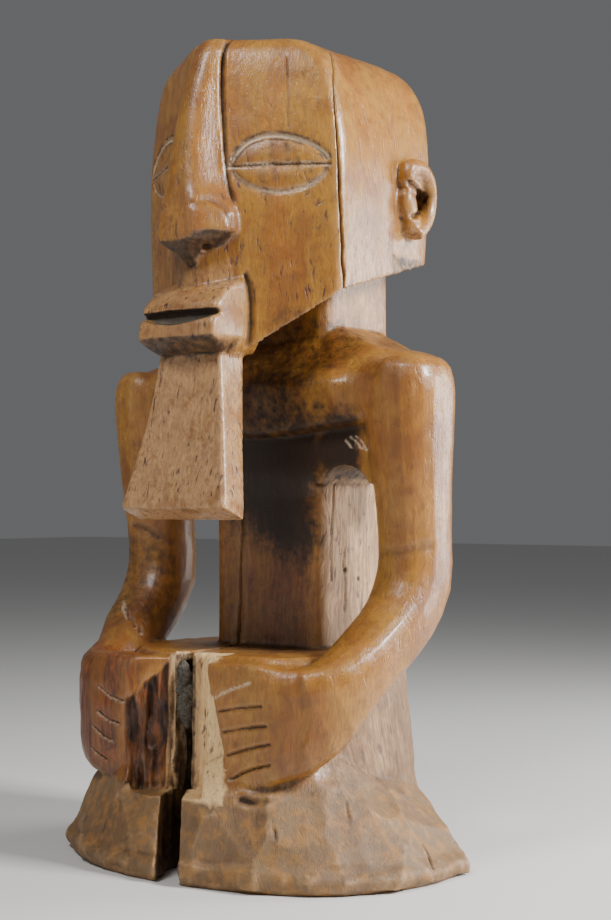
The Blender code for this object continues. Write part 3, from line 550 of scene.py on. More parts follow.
def regions(points):
    """Shares of 0 to 1 that say which part of the carving each point belongs to."""
    x, y, z = points.T
    arm = fade(*ARM_BORDER, path_distance(np.stack([np.abs(x), y, z], axis=1), ARM_LINE))
    arm = np.where((z < 80.0) & (y < -36.0) & (np.abs(x) < 62.0), 1.0, arm)
    sole = np.interp(np.abs(x), *HANDS_UNDERSIDE)
    arm *= ramp(sole - 1.0, sole + 1.0, z + 0.8 * soft_noise(points, 4.0, 42))
    steps, middle, half = BIG_SPLIT
    split = np.abs(x - np.interp(y, steps, middle)) < np.interp(y, steps, half)
    split &= (z < BIG_SPLIT_TOP) & (y < BIG_SPLIT_BACK)
    face_point, face_way = (np.array(v) for v in BREAK_FACE)
    off_face = np.abs((points - face_point) @ face_way)
    skin = np.interp(z, *SKIN_EDGE) + 1.5 * soft_noise(points, (3.0, 3.0, 4.0), 44)
    broken = within(-28.5, -8.0, 1.2, x) * fade(4.0, 6.0, off_face)
    broken *= within(30.0, 79.0, 1.5, z) * ramp(skin - 0.6, skin + 0.8, x)
    torso = fade(*TORSO_BORDER, z) * ramp(-30.0, -22.0, y) * (1.0 - arm)
    bow = 1.0 - np.clip(np.abs(x) / (MOUTH_HALF + 0.6), 0.0, 1.0) ** 2
    mouth = (z > MOUTH_SAG[0] - MOUTH_SAG[1] * bow) & (z < MOUTH_TOP) & (np.abs(x) < MOUTH_HALF)
    mouth &= (y > MOUTH_DEPTH[0]) & (y < MOUTH_DEPTH[1])
    return {
        "arm": arm, "split": split.astype(float), "broken": broken,
        "head": ramp(*HEAD_BORDER, z) * fade(-20.0, 45.0, -50 - y),
        "foot": fade(*FOOT_BORDER, z) * (1.0 - arm), "torso": torso,
        "mouth": mouth.astype(float),
    }


def tool_work(points, normals, part):
    """The marks of adze and knife: broad scoops, long facets, fibres where the wood split."""
    x, y, z = points.T
    foot, torso = part["foot"], part["torso"]
    # nothing that a blade leaves is flat
    shift = 0.22 * soft_noise(points, (16.0, 16.0, 26.0), 21)
    shift += 0.1 * soft_noise(points, (5.0, 5.0, 12.0), 22)
    # the adze on the foot, the knife elsewhere, chips along the rim
    shift += 2.9 * scoops(points, ADZE_CELL, ADZE_SEED, 1.1, 0.35) * foot
    facet = scoops(points, KNIFE_CELL, 9, 1.0, 0.3)
    side = torso * ramp(0.4, 0.8, np.abs(normals[:, 0]))
    lap = within(*LAP, 2.0, z) * torso
    shift += 0.5 * facet * np.maximum(0.4 * side, lap)
    shift += 0.22 * facet * (1.0 - foot) * (1.0 - lap)
    rim = within(*RIM, 2.0, z) * foot
    shift += 1.5 * scoops(points, CHIP_CELL, 15, 1.1, 0.4) * rim
    # torn wood in the break and the big split, faint fibres wherever hands haven't worn them
    fibre = layered_noise(points, (1.6, 1.6, 22.0), 31)
    ridge = 1.0 - 2.0 * np.abs(soft_noise(points, (2.6, 2.6, 15.0), 35))
    splinter = np.abs(soft_noise(points, (1.5, 1.5, 11.0), 36))
    gouge = np.clip(soft_noise(points, GOUGE_CELL, GOUGE_SEED) + 0.1, 0.0, 1.0)
    shift += part["broken"] * (1.3 * ridge - 1.1 * splinter + 0.5 * fibre - 2.6 * gouge - 0.4)
    shift += part["split"] * (0.4 * fibre + 0.3 * soft_noise(points, (4.0, 4.0, 9.0), 38))
    shift += 0.06 * fibre * (1.0 - part["arm"])
    # the crumbled corner below the ear
    jaw = within(22.0, 48.0, 3.0, y) * within(*JAW_CORNER, 1.5, z) * ramp(38.0, 42.0, np.abs(x))
    shift += jaw * 0.35 * soft_noise(points, 2.2, 41)
    return shift, jaw


def hand_modelling(points):
    """The sunk back of the left hand, bounded by an arc at the wrist."""
    x, y, z = points.T
    edge = 53.5 - 0.012 * (z - 60.0) ** 2
    front = ramp(-34.0, -40.0, y) * within(34.0, 74.0, 3.0, z)
    back = fade(edge - 2.6, edge + 1.0, x) * ramp(18.0, 34.0, x)
    return -0.9 * front * back


def stains(points, normals, part, jaw):
    """The stains, bare parts and painted shade, as a dictionary of shares over the points."""
    x, y, z = points.T
    aside = np.abs(x)
    foot, torso, arm = part["foot"], part["torso"], part["arm"]
    wander = 0.3 * layered_noise(points, 9.0, 51)
    broad = layered_noise(points, 26.0, 53)
    front = ramp(0.2, 0.7, -normals[:, 1])
    side = ramp(0.45, 0.8, np.abs(normals[:, 0]))
    low = fade(*LAP_BORDER, z)

    # raw: unpolished wood; the strip is the split's clean face beside the left hand
    neck = within(*NECK, 2.0, z) * (aside < 27.2) * ramp(0.5, 6.0, y)
    tip = np.interp(z, *STRIP_EDGE)
    strip = (x > -12.0) * fade(tip - 0.8, tip, x) * (y < -30.0) * within(29.0, 79.0, 1.0, z)
    raw = np.maximum.reduce([
        foot, torso * low * 0.9, torso * side * within(*BARE_SIDES, 3.0, z) * (aside < 40),
        torso * ramp(0.3, 0.8, normals[:, 1]) * 0.55,
        0.5 * ramp(0.2, 0.6, -normals[:, 2]) * part["head"], 0.3 * neck * side, strip,
    ])
    # soil and painted shade: the foot soiled all over and darker towards its bottom, painted shade
    # on its right side (-x), and the lap soiled
    soil = foot * (0.8 + 0.5 * broad + 0.3 * fade(-16.0, 2.0, x))
    soil += 0.25 * foot * fade(5.0, 9.0, z)
    soil += torso * low * (0.75 + 0.3 * broad)

    # pitch and painted shade: soot and resin in the left armpit and over the chest; down the
    # trunk's front partly pitch and partly painted shadow of the beard and arms, darker upward and
    # towards its left side; painted shade under the chest, nose and muzzle, the head's painted
    # shadow on the collar and painted shade on the right forearm; the jaw's crumbled corner, the
    # split, the break's gouges and the lap's ledge are darkened too
    armpit = np.linalg.norm((points - (40.0, 0.0, 152.0)) / (24.0, 60.0, 15.0), axis=1)
    armpit = torso * front * fade(0.55, 1.15, armpit + 0.8 * wander)
    across = aside + 5.0 * soft_noise(points, 11.0, 52)
    chest = torso * front * within(*CHEST, 8.0, z) * fade(16.0, 40.0, across)
    trunk = torso * front * within(*TRUNK, 12.0, z) * fade(19.0, 28.0, across)
    # painted shadow on the trunk's front over its pitch: darker upward and towards its left side
    pitch_and_shadow_upward = 0.9 * ramp(108.0, 124.0, z + 14.0 * wander + 0.6 * x)
    # painted shade under the chest and yoke, on faces that look down
    shade_under_chest = ramp(0.3, 0.7, -normals[:, 2]) * torso * within(*UNDER_CHEST, 3.0, z)
    # painted shade under the nose, muzzle and lips, on faces that look down
    shade_under_nose = ramp(0.25, 0.65, -normals[:, 2]) * (y < -36.0) * within(*MUZZLE, 2.0, z)
    # painted shadow of the head on the shoulders beside the neck
    head_shadow_on_collar = torso * within(*COLLAR, 4.0, z) * fade(30.0, 50.0, aside) * (y < 16.0)
    # painted shade on the right forearm, which is lit less
    shade_on_right_forearm = arm * (x < 0.0) * within(*SHADED_FOREARM, 8.0, z) * (y < 6.0)
    torn = ramp(-0.1, 0.45, soft_noise(points, GOUGE_CELL, GOUGE_SEED)) * ramp(-8.0, -14.0, x)
    ledge = torso * within(*LAP_LEDGE, 1.0, z) * ramp(0.5, 0.9, normals[:, 2])
    pitch = np.maximum.reduce([
        armpit, 0.7 * chest + trunk * (pitch_and_shadow_upward + 0.35 * broad) + 0.35 * (armpit > 0.0) * torso,
        0.8 * shade_under_chest, 0.82 * shade_under_nose, head_shadow_on_collar * (0.55 + 0.4 * broad), 0.36 * shade_on_right_forearm,
        0.6 * jaw, part["split"] * 0.75, 0.8 * part["broken"] * torn,
        ledge * fade(20.0, 32.0, aside) * (0.45 + 0.4 * broad),
    ])

    # rust: the reddened right hand
    hand = fade(-26.0, -18.0, x) * fade(-34.0, -26.0, y) * fade(78.0, 84.0, z)
    rust = np.maximum.reduce([
        hand * arm * (0.85 + 0.5 * broad) + wander * 0.5 * (hand > 0.02),
        0.85 * part["broken"] * fade(-13.0, -9.5, x + 2.0 * wander), 0.4 * trunk,
    ])
    beard = within(*BEARD, 2.0, z) * (y < -30.0)
    lips = within(*LIPS, 2.0, z) * (y < -34.0)
    cheek = part["head"] * fade(232.0, 262.0, z) * (y < 20.0)
    by_nose = part["head"] * within(12.0, 18.0, 3.0, aside) * fade(258.0, 275.0, z) * (y < -20)
    flecked = np.maximum.reduce([beard, lips, 0.8 * cheek, by_nose, 0.7 * (raw * (1.0 - foot))])
    ash = part["mouth"] * fade(198.9, 199.9, z) + 0.5 * part["mouth"]
    return {
        "raw": raw, "soil": soil, "pitch": pitch, "rust": rust, "flecked": flecked + 0.15,
        "dotted": torso * (1.0 - front * 0.3) * within(*DOTTED_YOKE, 4.0, z) + 0.35 * trunk,
        "fresh": strip * (0.3 + 0.7 * (x > -1.0)), "foot": foot,
        "facet": foot * seed_distance(points, ADZE_CELL, ADZE_SEED)[1],
        "dry": np.maximum(beard, 0.6 * lips),
        # painted shadow under the upper lip, in the upper part of the mouth's slit
        "ash": np.clip(ash, 0.0, 0.95), "gullet": part["mouth"] * ramp(199.0, 200.0, z),
    }


def carved(points, normals):
    """The shift along the normals that carves the solid, in millimetres; none on the underside."""
    part = regions(points)
    eye_shift, _, _ = eye_carving(points, normals)
    line_shift, _, _ = line_carving(points)
    work, _ = tool_work(points, normals, part)
    face = within(*EYE_BAND, 3.0, points[:, 2]) * ramp(-6.0, -14.0, points[:, 1])
    shift = eye_shift + line_shift + work * (1.0 - 0.6 * face) + hand_modelling(points)
    return shift * (1.0 - ramp(0.5, 0.8, -normals[:, 2]) * (points[:, 2] < 3.0))


def paint_masks(mesh):
    """Writes the stains as point attributes of the finished mesh.

    A hollow is darkened as painted shade and a convex edge paled as wear and a painted highlight;
    both are where the relaxed surface leaves the real one, out or in.
    """
    points, normals = points_of(mesh), normals_of(mesh)
    edges = edges_of(mesh)
    part = regions(points)
    _, eye_grime, eye_pale = eye_carving(points, normals)
    _, line_grime_and_shade, line_pale_and_glint = line_carving(points)
    _, jaw = tool_work(points, normals, part)
    masks = stains(points, normals, part, jaw)
    hollow = ((relaxed(points, edges, 6) - points) * normals).sum(axis=1)
    hollow = relaxed(hollow, edges, 1)[:, 0]
    # grime and painted shade: cuts and pits, painted shade in hollows and painted shadow under the
    # upper lip
    masks["grime"] = eye_grime + line_grime_and_shade + 0.8 * ramp(0.05, 0.3, hollow) + masks.pop("gullet")
    # worn wood and painted highlights on convex edges
    masks["wear"] = ramp(0.05, 0.32, -hollow)
    masks["pale"] = eye_pale + line_pale_and_glint
    masks["broken"] = part["broken"]
    for name, values in masks.items():
        layer = mesh.attributes.new(name, "FLOAT", "POINT")
        layer.data.foreach_set("value", np.clip(values, 0.0, 1.0).astype(np.float32))


class Nodes:
    """Adds nodes to one tree and hands back their outputs."""

    def __init__(self, tree):
        self.tree = tree

    def add(self, kind, inputs=None, **settings):
        """One node; an input takes a number, a colour or another node's output."""
        made = self.tree.nodes.new(kind)
        for key, value in settings.items():
            setattr(made, key, value)
        for key, value in (inputs or {}).items():
            if isinstance(value, bpy.types.NodeSocket):
                self.tree.links.new(value, made.inputs[key])
            else:
                made.inputs[key].default_value = value
        return made

    def math(self, operation, first, second=0.0, third=0.0, clamp=False):
        inputs = {0: first, 1: second, 2: third}
        return self.add("ShaderNodeMath", inputs, operation=operation, use_clamp=clamp).outputs[0]

    def times(self, first, second):
        return self.math("MULTIPLY", first, second)

    def vector(self, operation, first, second):
        made = self.add("ShaderNodeVectorMath", {0: first, 1: second}, operation=operation)
        return made.outputs[0]

    def mixed(self, share, first, second):
        """Two colours mixed by a share."""
        made = self.add("ShaderNodeMix", {0: share, 6: first, 7: second},
                        data_type="RGBA", blend_type="MIX", clamp_factor=True)
        return made.outputs[2]

    def between(self, share, first, second):
        """Two numbers mixed by a share."""
        made = self.add("ShaderNodeMix", {0: share, 2: first, 3: second}, data_type="FLOAT")
        return made.outputs[0]

    def ranged(self, value, low, high, to_low=0.0, to_high=1.0):
        made = self.add(
            "ShaderNodeMapRange", {0: value, 1: low, 2: high, 3: to_low, 4: to_high},
            interpolation_type="SMOOTHSTEP")
        return made.outputs[0]

    def noise(self, vector, scale, detail=3.0, rough=0.55, twist=0.0):
        made = self.add("ShaderNodeTexNoise", {
            "Vector": vector, "Scale": scale, "Detail": detail, "Roughness": rough,
            "Distortion": twist,
        })
        return made.outputs[0]


def new_group(name, inputs, outputs):
    """A node group with named number outputs, its nodes, and its input and output node."""
    tree = bpy.data.node_groups.new(name, "ShaderNodeTree")
    for label, kind, value in inputs:
        socket = tree.interface.new_socket(label, in_out="INPUT", socket_type=kind)
        if value is not None:
            socket.default_value = value
    for label in outputs:
        tree.interface.new_socket(label, in_out="OUTPUT", socket_type="NodeSocketFloat")
    return tree, Nodes(tree), tree.nodes.new("NodeGroupInput"), tree.nodes.new("NodeGroupOutput")


def fibre_group():
    """Fibres, colour bands and vessel flecks that run up the log."""
    tree, nodes, source, result = new_group("Log fibre", (
        ("Place", "NodeSocketVector", None), ("Fineness", "NodeSocketFloat", 1.0),
    ), ("Fibre", "Band", "Fleck"))
    place = nodes.vector("MULTIPLY", source.outputs["Place"], (1000, 1000, 1000))
    place = nodes.add("ShaderNodeVectorMath", {0: place}, operation="SCALE")
    tree.links.new(source.outputs["Fineness"], place.inputs["Scale"])
    place = place.outputs[0]
    sway = nodes.times(nodes.noise(place, 0.03, 2.0), 7.0)
    sway = nodes.math("MULTIPLY_ADD", nodes.noise(place, 0.14, 2.0), 2.2, sway)
    sway = nodes.add("ShaderNodeCombineXYZ", {0: sway, 1: sway, 2: 0.0})
    place = nodes.vector("ADD", place, sway.outputs[0])
    for label, stretch, detail, rough in (
        ("Fibre", (1.9, 1.9, 0.15), 4.0, 0.62), ("Band", (0.26, 0.26, 0.030), 3.0, 0.5),
        ("Fleck", (1.3, 1.3, 0.30), 3.0, 0.6),
    ):
        value = nodes.noise(nodes.vector("MULTIPLY", place, stretch), 1.0, detail, rough)
        if label == "Fleck":
            value = nodes.ranged(value, 0.57, 0.70)
        tree.links.new(value, result.inputs[label])
    return tree


# Noises of the patina, as scale, detail, roughness, distortion, and the range that is stretched.
PATINA = {
    "Cloud": (34.0, 3.0, 0.6, 0.4, 0.36, 0.64),
    "Blotch": (85.0, 5.0, 0.68, 0.8, 0.50, 0.66),
    "Mottle": (190.0, 4.0, 0.68, 0.3, 0.44, 0.66),
    "Spot": (210.0, 3.0, 0.55, 0.3, 0.60, 0.74),
    "Speckle": (900.0, 2.0, 0.6, 0.0, 0.56, 0.70),
}


def patina_group():
    """Cloudy and spotty unevenness of an oiled, handled and smoked surface."""
    inputs = (("Place", "NodeSocketVector", None),)
    tree, nodes, source, result = new_group("Handled patina", inputs, tuple(PATINA))
    for label, (scale, detail, rough, twist, low, high) in PATINA.items():
        value = nodes.noise(source.outputs["Place"], scale, detail, rough, twist)
        tree.links.new(nodes.ranged(value, low, high), result.inputs[label])
    return tree


def ragged_group():
    """A painted mask whose border is broken up by fine noise."""
    tree, nodes, source, result = new_group("Ragged border", (
        ("Mask", "NodeSocketFloat", 0.0), ("Place", "NodeSocketVector", None),
        ("Grain", "NodeSocketFloat", 600.0), ("Amount", "NodeSocketFloat", 0.5),
    ), ("Mask",))
    mask, place, grain, amount = (source.outputs[i] for i in range(4))
    shift = nodes.times(nodes.math("SUBTRACT", nodes.noise(place, grain, 3.0, 0.6), 0.5), amount)
    shift = nodes.times(shift, 2.0)
    room = nodes.times(mask, nodes.math("SUBTRACT", 1.0, mask))
    shifted = nodes.math("MULTIPLY_ADD", nodes.times(room, 4.0), shift, mask)
    tree.links.new(nodes.math("ADD", shifted, 0.0, clamp=True), result.inputs["Mask"])
    return tree


GROUP_MAKERS = {"fibre": fibre_group, "patina": patina_group, "ragged": ragged_group}
GROUPS = {}


def placed(nodes, name, **inputs):
    """A node of one of the groups, which are each built once."""
    if name not in GROUPS:
        GROUPS[name] = GROUP_MAKERS[name]()
    return nodes.add("ShaderNodeGroup", inputs, node_tree=GROUPS[name]).outputs


def new_material(name):
    """A material with its nodes, its shader and the place on the object."""
    material = bpy.data.materials.new(name)
    material.use_nodes = True
    nodes = Nodes(material.node_tree)
    place = nodes.add("ShaderNodeTexCoord").outputs["Object"]
    return material, nodes, material.node_tree.nodes["Principled BSDF"], place


# Masks with a ragged border, as the grain of the noise and how far it shifts the border.
RAGGED = {
    "raw": (300.0, 0.5), "soil": (160.0, 0.9), "pitch": (300.0, 1.0), "rust": (250.0, 0.7),
    "grime": (1300.0, 0.6), "pale": (900.0, 0.6), "wear": (500.0, 0.8), "ash": (900.0, 0.4),
}
PLAIN_MASKS = ("dotted", "flecked", "broken", "fresh", "foot", "facet", "dry")


def wood_material(values):
    """Oiled, handled hardwood; raw, pitched, red, painted shade and highlight from the masks."""
    material, nodes, shader, place = new_material("carved hardwood")
    tree, math_node, times, mixed, ranged = (
        material.node_tree, nodes.math, nodes.times, nodes.mixed, nodes.ranged
    )
    masks = {
        name: nodes.add("ShaderNodeAttribute", attribute_name=name).outputs["Fac"]
        for name in (*RAGGED, *PLAIN_MASKS)
    }
    ragged = {
        name: placed(nodes, "ragged", Mask=masks[name], Place=place, Grain=grain,
                     Amount=amount)["Mask"]
        for name, (grain, amount) in RAGGED.items()
    }
    fibre = placed(nodes, "fibre", Place=place, Fineness=1.0)
    coarse = placed(nodes, "fibre", Place=place, Fineness=0.42)
    patina = placed(nodes, "patina", Place=place)
    cloud, blotch, mottle, spot, speckle = (patina[label] for label in PATINA)
    band = ranged(coarse["Band"], 0.42, 0.62)
    broad = ranged(coarse["Fibre"], 0.36, 0.62)
    streak = ranged(fibre["Fibre"], 0.34, 0.66)
    foot = masks["foot"]

    bare = mixed(broad, values.pale, values.pale_streak)
    bare = mixed(times(cloud, 0.45), bare, values.grey)
    soiled_and_shaded = mixed(times(broad, 0.6), values.soil, values.soil_dark)
    tan = mixed(ranged(masks["facet"], 0.2, 0.8), values.soil, values.tan)
    tan = mixed(times(blotch, 0.6), tan, values.soil_dark)
    tan = mixed(times(cloud, 0.4), tan, values.grey)
    fresh = mixed(times(streak, 0.35), values.fresh, values.pale_streak)
    red = mixed(broad, values.rust, values.rust_dark)
    red = mixed(times(band, 0.5), red, values.amber)
    vessels = math_node("MAXIMUM", coarse["Fleck"], times(fibre["Fleck"], 0.4))
    dots = times(math_node("MAXIMUM", speckle, spot), masks["dotted"])
    # worn edges, with painted highlights on convex edges that are strongest on the foot's rim
    worn_and_glinting = times(ragged["wear"], math_node("MULTIPLY_ADD", foot, 0.3, 0.14))

    colour = mixed(cloud, values.honey, values.amber)
    for share, tone in (
        (times(band, 0.6), values.ochre),
        (times(masks["dry"], math_node("MULTIPLY_ADD", blotch, -0.3, 0.75)), values.dry),
        (times(broad, 0.26), values.streak),
        (times(streak, 0.3), values.streak),
        (times(blotch, 0.42), values.russet),
        (times(mottle, 0.3), values.streak),
        (ragged["raw"], bare),
        # soil, with painted shade on the foot's right side
        (times(ragged["soil"], 0.85), soiled_and_shaded),
        (times(foot, 0.75), tan),
        (times(times(mottle, foot), 0.75), values.golden),
        (times(masks["fresh"], 0.93), fresh),
        (ragged["rust"], red),
        (times(vessels, masks["flecked"]), values.fleck),
        (times(dots, 0.8), values.rust_dark),
        (times(spot, 0.3), values.rust_dark),
        (ragged["ash"], values.ash),
        # worn edges and painted highlights
        (worn_and_glinting, values.pale),
        # pitch, with painted shade and painted shadow
        (times(ragged["pitch"], 0.96), values.pitch),
        # grime, with painted shade in cuts and hollows
        (times(ragged["grime"], 0.92), values.grime),
        (times(ragged["pale"], 0.85), values.scratch),
    ):
        colour = mixed(share, colour, tone)
    tree.links.new(colour, shader.inputs["Base Color"])

    gloss = ranged(fibre["Fibre"], 0.25, 0.75, values.sheen_low, values.sheen_high)
    gloss = math_node("MULTIPLY_ADD", cloud, 0.08, gloss)
    gloss = math_node("MULTIPLY_ADD", broad, 0.06, gloss)
    dull = math_node("MULTIPLY_ADD", foot, -0.2, ragged["raw"])
    dull = math_node("MAXIMUM", dull, times(ragged["pitch"], 0.6), clamp=True)
    rough = nodes.between(dull, gloss, values.raw_roughness)
    rough = nodes.between(ragged["grime"], rough, 0.8)
    tree.links.new(rough, shader.inputs["Roughness"])
    polish = math_node("MAXIMUM", dull, ragged["grime"])
    polish = math_node("SUBTRACT", 1.0, polish, clamp=True)
    polish = math_node("SUBTRACT", polish, foot, clamp=True)
    tree.links.new(times(polish, 0.16), shader.inputs["Coat Weight"])
    shader.inputs["Coat Roughness"].default_value = 0.15
    shader.inputs["Specular IOR Level"].default_value = 0.5

    rougher = math_node("MAXIMUM", times(ragged["raw"], 0.6), masks["broken"])
    height = times(fibre["Fibre"], math_node("ADD", rougher, 0.35))
    for relief, strength in (
        (coarse["Fibre"], 0.5), (mottle, 0.12), (vessels, -0.4), (speckle, -0.12),
    ):
        height = math_node("MULTIPLY_ADD", relief, strength, height)
    bump = {"Height": height, "Strength": 0.85, "Distance": 0.00028}
    tree.links.new(nodes.add("ShaderNodeBump", bump).outputs[0], shader.inputs["Normal"])
    return material


def crumb_material(values):
    """Dry grey matter packed into the split."""
    material, nodes, shader, place = new_material("crumbled filling")
    speckle = placed(nodes, "patina", Place=place)["Speckle"]
    fine = nodes.noise(place, 1500.0, 4.0, 0.7)
    colour = nodes.mixed(nodes.ranged(fine, 0.35, 0.65), values.crumb_dark, values.crumb)
    colour = nodes.mixed(nodes.times(speckle, 0.6), colour, values.grime)
    nodes.tree.links.new(colour, shader.inputs["Base Color"])
    shader.inputs["Roughness"].default_value = 0.9
    bump = {"Height": fine, "Strength": 0.8, "Distance": 0.0004}
    nodes.tree.links.new(nodes.add("ShaderNodeBump", bump).outputs[0], shader.inputs["Normal"])
    return material


def tone(name, description, colour):
    return FloatVectorProperty(name=name, description=description, default=colour + (1.0,),
                               size=4, subtype="COLOR", min=0.0, max=1.0)


def length(name, description, default, low=0.0, high=10.0):
    return FloatProperty(name=name, description=description, default=default, unit="LENGTH",
                         min=low, max=high)


def factor(name, description, default):
    return FloatProperty(name=name, description=description, default=default, subtype="FACTOR",
                         min=0.0, max=1.0)


def power(name, description, default):
    return FloatProperty(name=name, description=description, default=default, unit="POWER")


class FigureWood(bpy.types.PropertyGroup):
    """Sizes of the carved surface and tones of its wood."""

    voxel: length("Grain of the Surface", "Size of the cells that the surface is worked in",
                  FINEST, *CELL_LIMITS)
    quick_voxel: length("Grain in Quick Tries", "The same size while trying things out", 0.0012,
                        *CELL_LIMITS)
    faces: IntProperty(
        name="Triangles", description="Triangles the finished carving may have",
        default=196000, min=FEWEST, max=MOST)
    easing: IntProperty(
        name="Easing", description="Rounds of smoothing that take the facets out of flat parts",
        default=30, min=0, max=200)
    honey: tone("Honey", "Lighter tone of the oiled wood", (0.43, 0.190, 0.034))
    amber: tone("Amber", "Deeper tone of the oiled wood", (0.26, 0.094, 0.015))
    ochre: tone("Ochre", "Yellow bands in the oiled wood", (0.42, 0.215, 0.032))
    russet: tone("Russet", "Reddish blotches in the oiled wood", (0.20, 0.058, 0.012))
    streak: tone("Streak", "Brown streaks in the oiled wood", (0.12, 0.043, 0.014))
    # this tone also paints worn edges and painted highlights
    pale: tone("Raw", "Unpolished wood", (0.58, 0.350, 0.175))
    dry: tone("Dry", "Paler wood of beard and lips", (0.66, 0.385, 0.180))
    fresh: tone("Fresh", "Clean face of the split", (0.90, 0.61, 0.28))
    tan: tone("Tan", "Lighter adze facets of the foot", (0.205, 0.116, 0.043))
    golden: tone("Golden", "Yellow patches of the foot", (0.34, 0.160, 0.038))
    pale_streak: tone("Raw Streak", "Fibres of the unpolished wood", (0.33, 0.175, 0.075))
    grey: tone("Weathered", "Greyed patches of the unpolished wood", (0.22, 0.150, 0.088))
    # this tone also paints the painted shade on the foot's right side
    soil: tone("Soiled", "Dirty tan of the foot", (0.155, 0.080, 0.031))
    soil_dark: tone("Dark Soiled", "Dark fibres of the foot", (0.060, 0.029, 0.012))
    ash: tone("Ash", "Grey layer in the mouth", (0.17, 0.145, 0.105))
    rust: tone("Red", "Reddened wood of the right hand", (0.23, 0.056, 0.010))
    rust_dark: tone("Dark Red", "Dark streaks of the reddened wood", (0.055, 0.016, 0.006))
    fleck: tone("Fleck", "Vessel flecks", (0.075, 0.034, 0.028))
    # this tone paints the pitch and also the painted shade and painted shadow
    pitch: tone("Pitch", "Blackened resinous parts", (0.012, 0.0052, 0.0025))
    # this tone paints grime and also painted shade in cuts and hollows
    grime: tone("Grime", "Dirt in cuts and hollows", (0.022, 0.012, 0.007))
    scratch: tone("Scratch", "Bared edges of cuts", (0.66, 0.50, 0.34))
    crumb: tone("Filling", "Grey matter in the split", (0.13, 0.115, 0.090))
    crumb_dark: tone("Dark Filling", "Dark parts of that matter", (0.035, 0.027, 0.020))
    sheen_low: factor("Shine Low", "Roughness of the smoothest oiled wood", 0.19)
    sheen_high: factor("Shine High", "Roughness of the dullest oiled wood", 0.33)
    raw_roughness: factor("Raw Roughness", "Roughness of the unpolished wood", 0.66)


class FigureStage(bpy.types.PropertyGroup):
    """The place of the camera and the strength of the lights."""

    turn: FloatProperty(
        name="Turn", description="Angle of the camera round the figure from its front",
        default=math.radians(38), subtype="ANGLE")
    distance: length("Distance", "Distance of the camera from the figure's axis", 0.6191)
    height: length("Height", "Height of the camera over the floor", 0.1334)
    key: power("Key Light", "Power of the main light", 8.0)
    side: power("Side Light", "Power of the soft light from the right", 4.0)
    brow: power("Brow Light", "Power of the high light ahead", 2.6)
    fill: power("Fill Light", "Power of the light from the left", 0.5)
    sky: FloatProperty(
        name="Sky", description="Strength of the even light", default=0.14, min=0.0, max=10.0)
    floor: tone("Floor", "Tone of the floor", (0.72, 0.71, 0.69))


def ride_root(piece):
    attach(piece, "root")


class FIGURE_OT_carve(bpy.types.Operator):
    """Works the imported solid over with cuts, tool marks, breaks and stains"""

    bl_idname = "figure.carve"
    bl_label = "Carve the Figure"

    def execute(self, context):
        values = context.scene.figure_wood
        piece = merged_copy("carved_figure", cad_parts["figure"])
        size = values.voxel
        mesh = applied(piece, "REMESH", mode="VOXEL", voxel_size=size)
        edges = edges_of(mesh)
        rounds = round(values.easing * (FINEST / size) ** 2)
        points = self.eased(points_of(mesh), edges, rounds)
        points = melted(points, edges, self.nose_ridge(points), 2 * rounds)
        set_points(mesh, melted(points, edges, self.flowing(points), 8 * rounds))
        points, normals = points_of(mesh), normals_of(mesh)
        points += normals * carved(points, normals)[:, None]
        points[:, 2] = np.maximum(points[:, 2], 0.0)
        set_points(mesh, points)
        for i, split in enumerate((FACE_SPLIT, BODY_SPLIT)):
            cutter = linked("split", split_wedge(*split, 60 + 10 * i))
            mesh = applied(piece, "BOOLEAN", object=cutter, operation="DIFFERENCE",
                           solver="MANIFOLD")
            bpy.data.objects.remove(cutter)
        triangles = len(mesh.loops) - 2 * len(mesh.polygons)
        if triangles < FEWEST:
            raise RuntimeError("the carved surface was lost while its splits were cut")
        mesh = applied(piece, "DECIMATE", ratio=min(1.0, values.faces / triangles))
        mesh.shade_smooth()
        paint_masks(mesh)
        mesh.materials.clear()
        mesh.materials.append(wood_material(values))
        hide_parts("figure")
        ride_root(piece)
        return {"FINISHED"}

    @classmethod
    def eased(cls, points, edges, rounds):
        """Points smoothed where the surface is nearly flat, and left firm along its arrises."""
        firm = relaxed(points, edges, 3)
        soft = relaxed(firm, edges, rounds)
        keep = relaxed(ramp(0.05, 0.16, np.linalg.norm(firm - soft, axis=1)), edges, 3)
        keep *= 1.0 - cls.redrawn(firm)[:, None]
        return soft + (firm - soft) * keep

    @staticmethod
    def flowing(points):
        """Shares of 1 where an arm flows into the yoke, and the chest into the trunk."""
        x, y, z = points.T
        shoulder = within(44.0, 56.0, 6.0, np.abs(x)) * within(*SHOULDERS, 6.0, z) * (y < 14.0)
        belly = within(*BELLY, 4.0, z) * fade(22.0, 28.0, np.abs(x))
        return np.maximum(shoulder, belly * ((y > -14.0) & (y < 8.0)))

    @staticmethod
    def nose_ridge(points):
        """Shares of 1 along the nose's rounded ridge, clear of its sides' roots and its tip."""
        x, y, z = points.T
        return within(*NOSE_RIDGE, 5.0, z) * fade(6.0, 9.0, np.abs(x)) * (y < -34.0)

    @staticmethod
    def redrawn(points):
        """Shares of 1 where the solid's own fine cuts are smoothed away to be cut again."""
        x, y, z = points.T
        eyes = within(*EYE_CUTS, 2.0, z) * within(10.5, 43.5, 1.0, np.abs(x)) * (y < -11.0)
        left = within(14.0, 38.0, 1.0, x) * within(37.0, 64.5, 1.0, z) * (y < -44.0)
        right = within(-43.0, -29.5, 1.0, x) * within(37.0, 65.0, 1.0, z) * (y < -43.0)
        return np.clip(eyes + left + right, 0.0, 1.0)


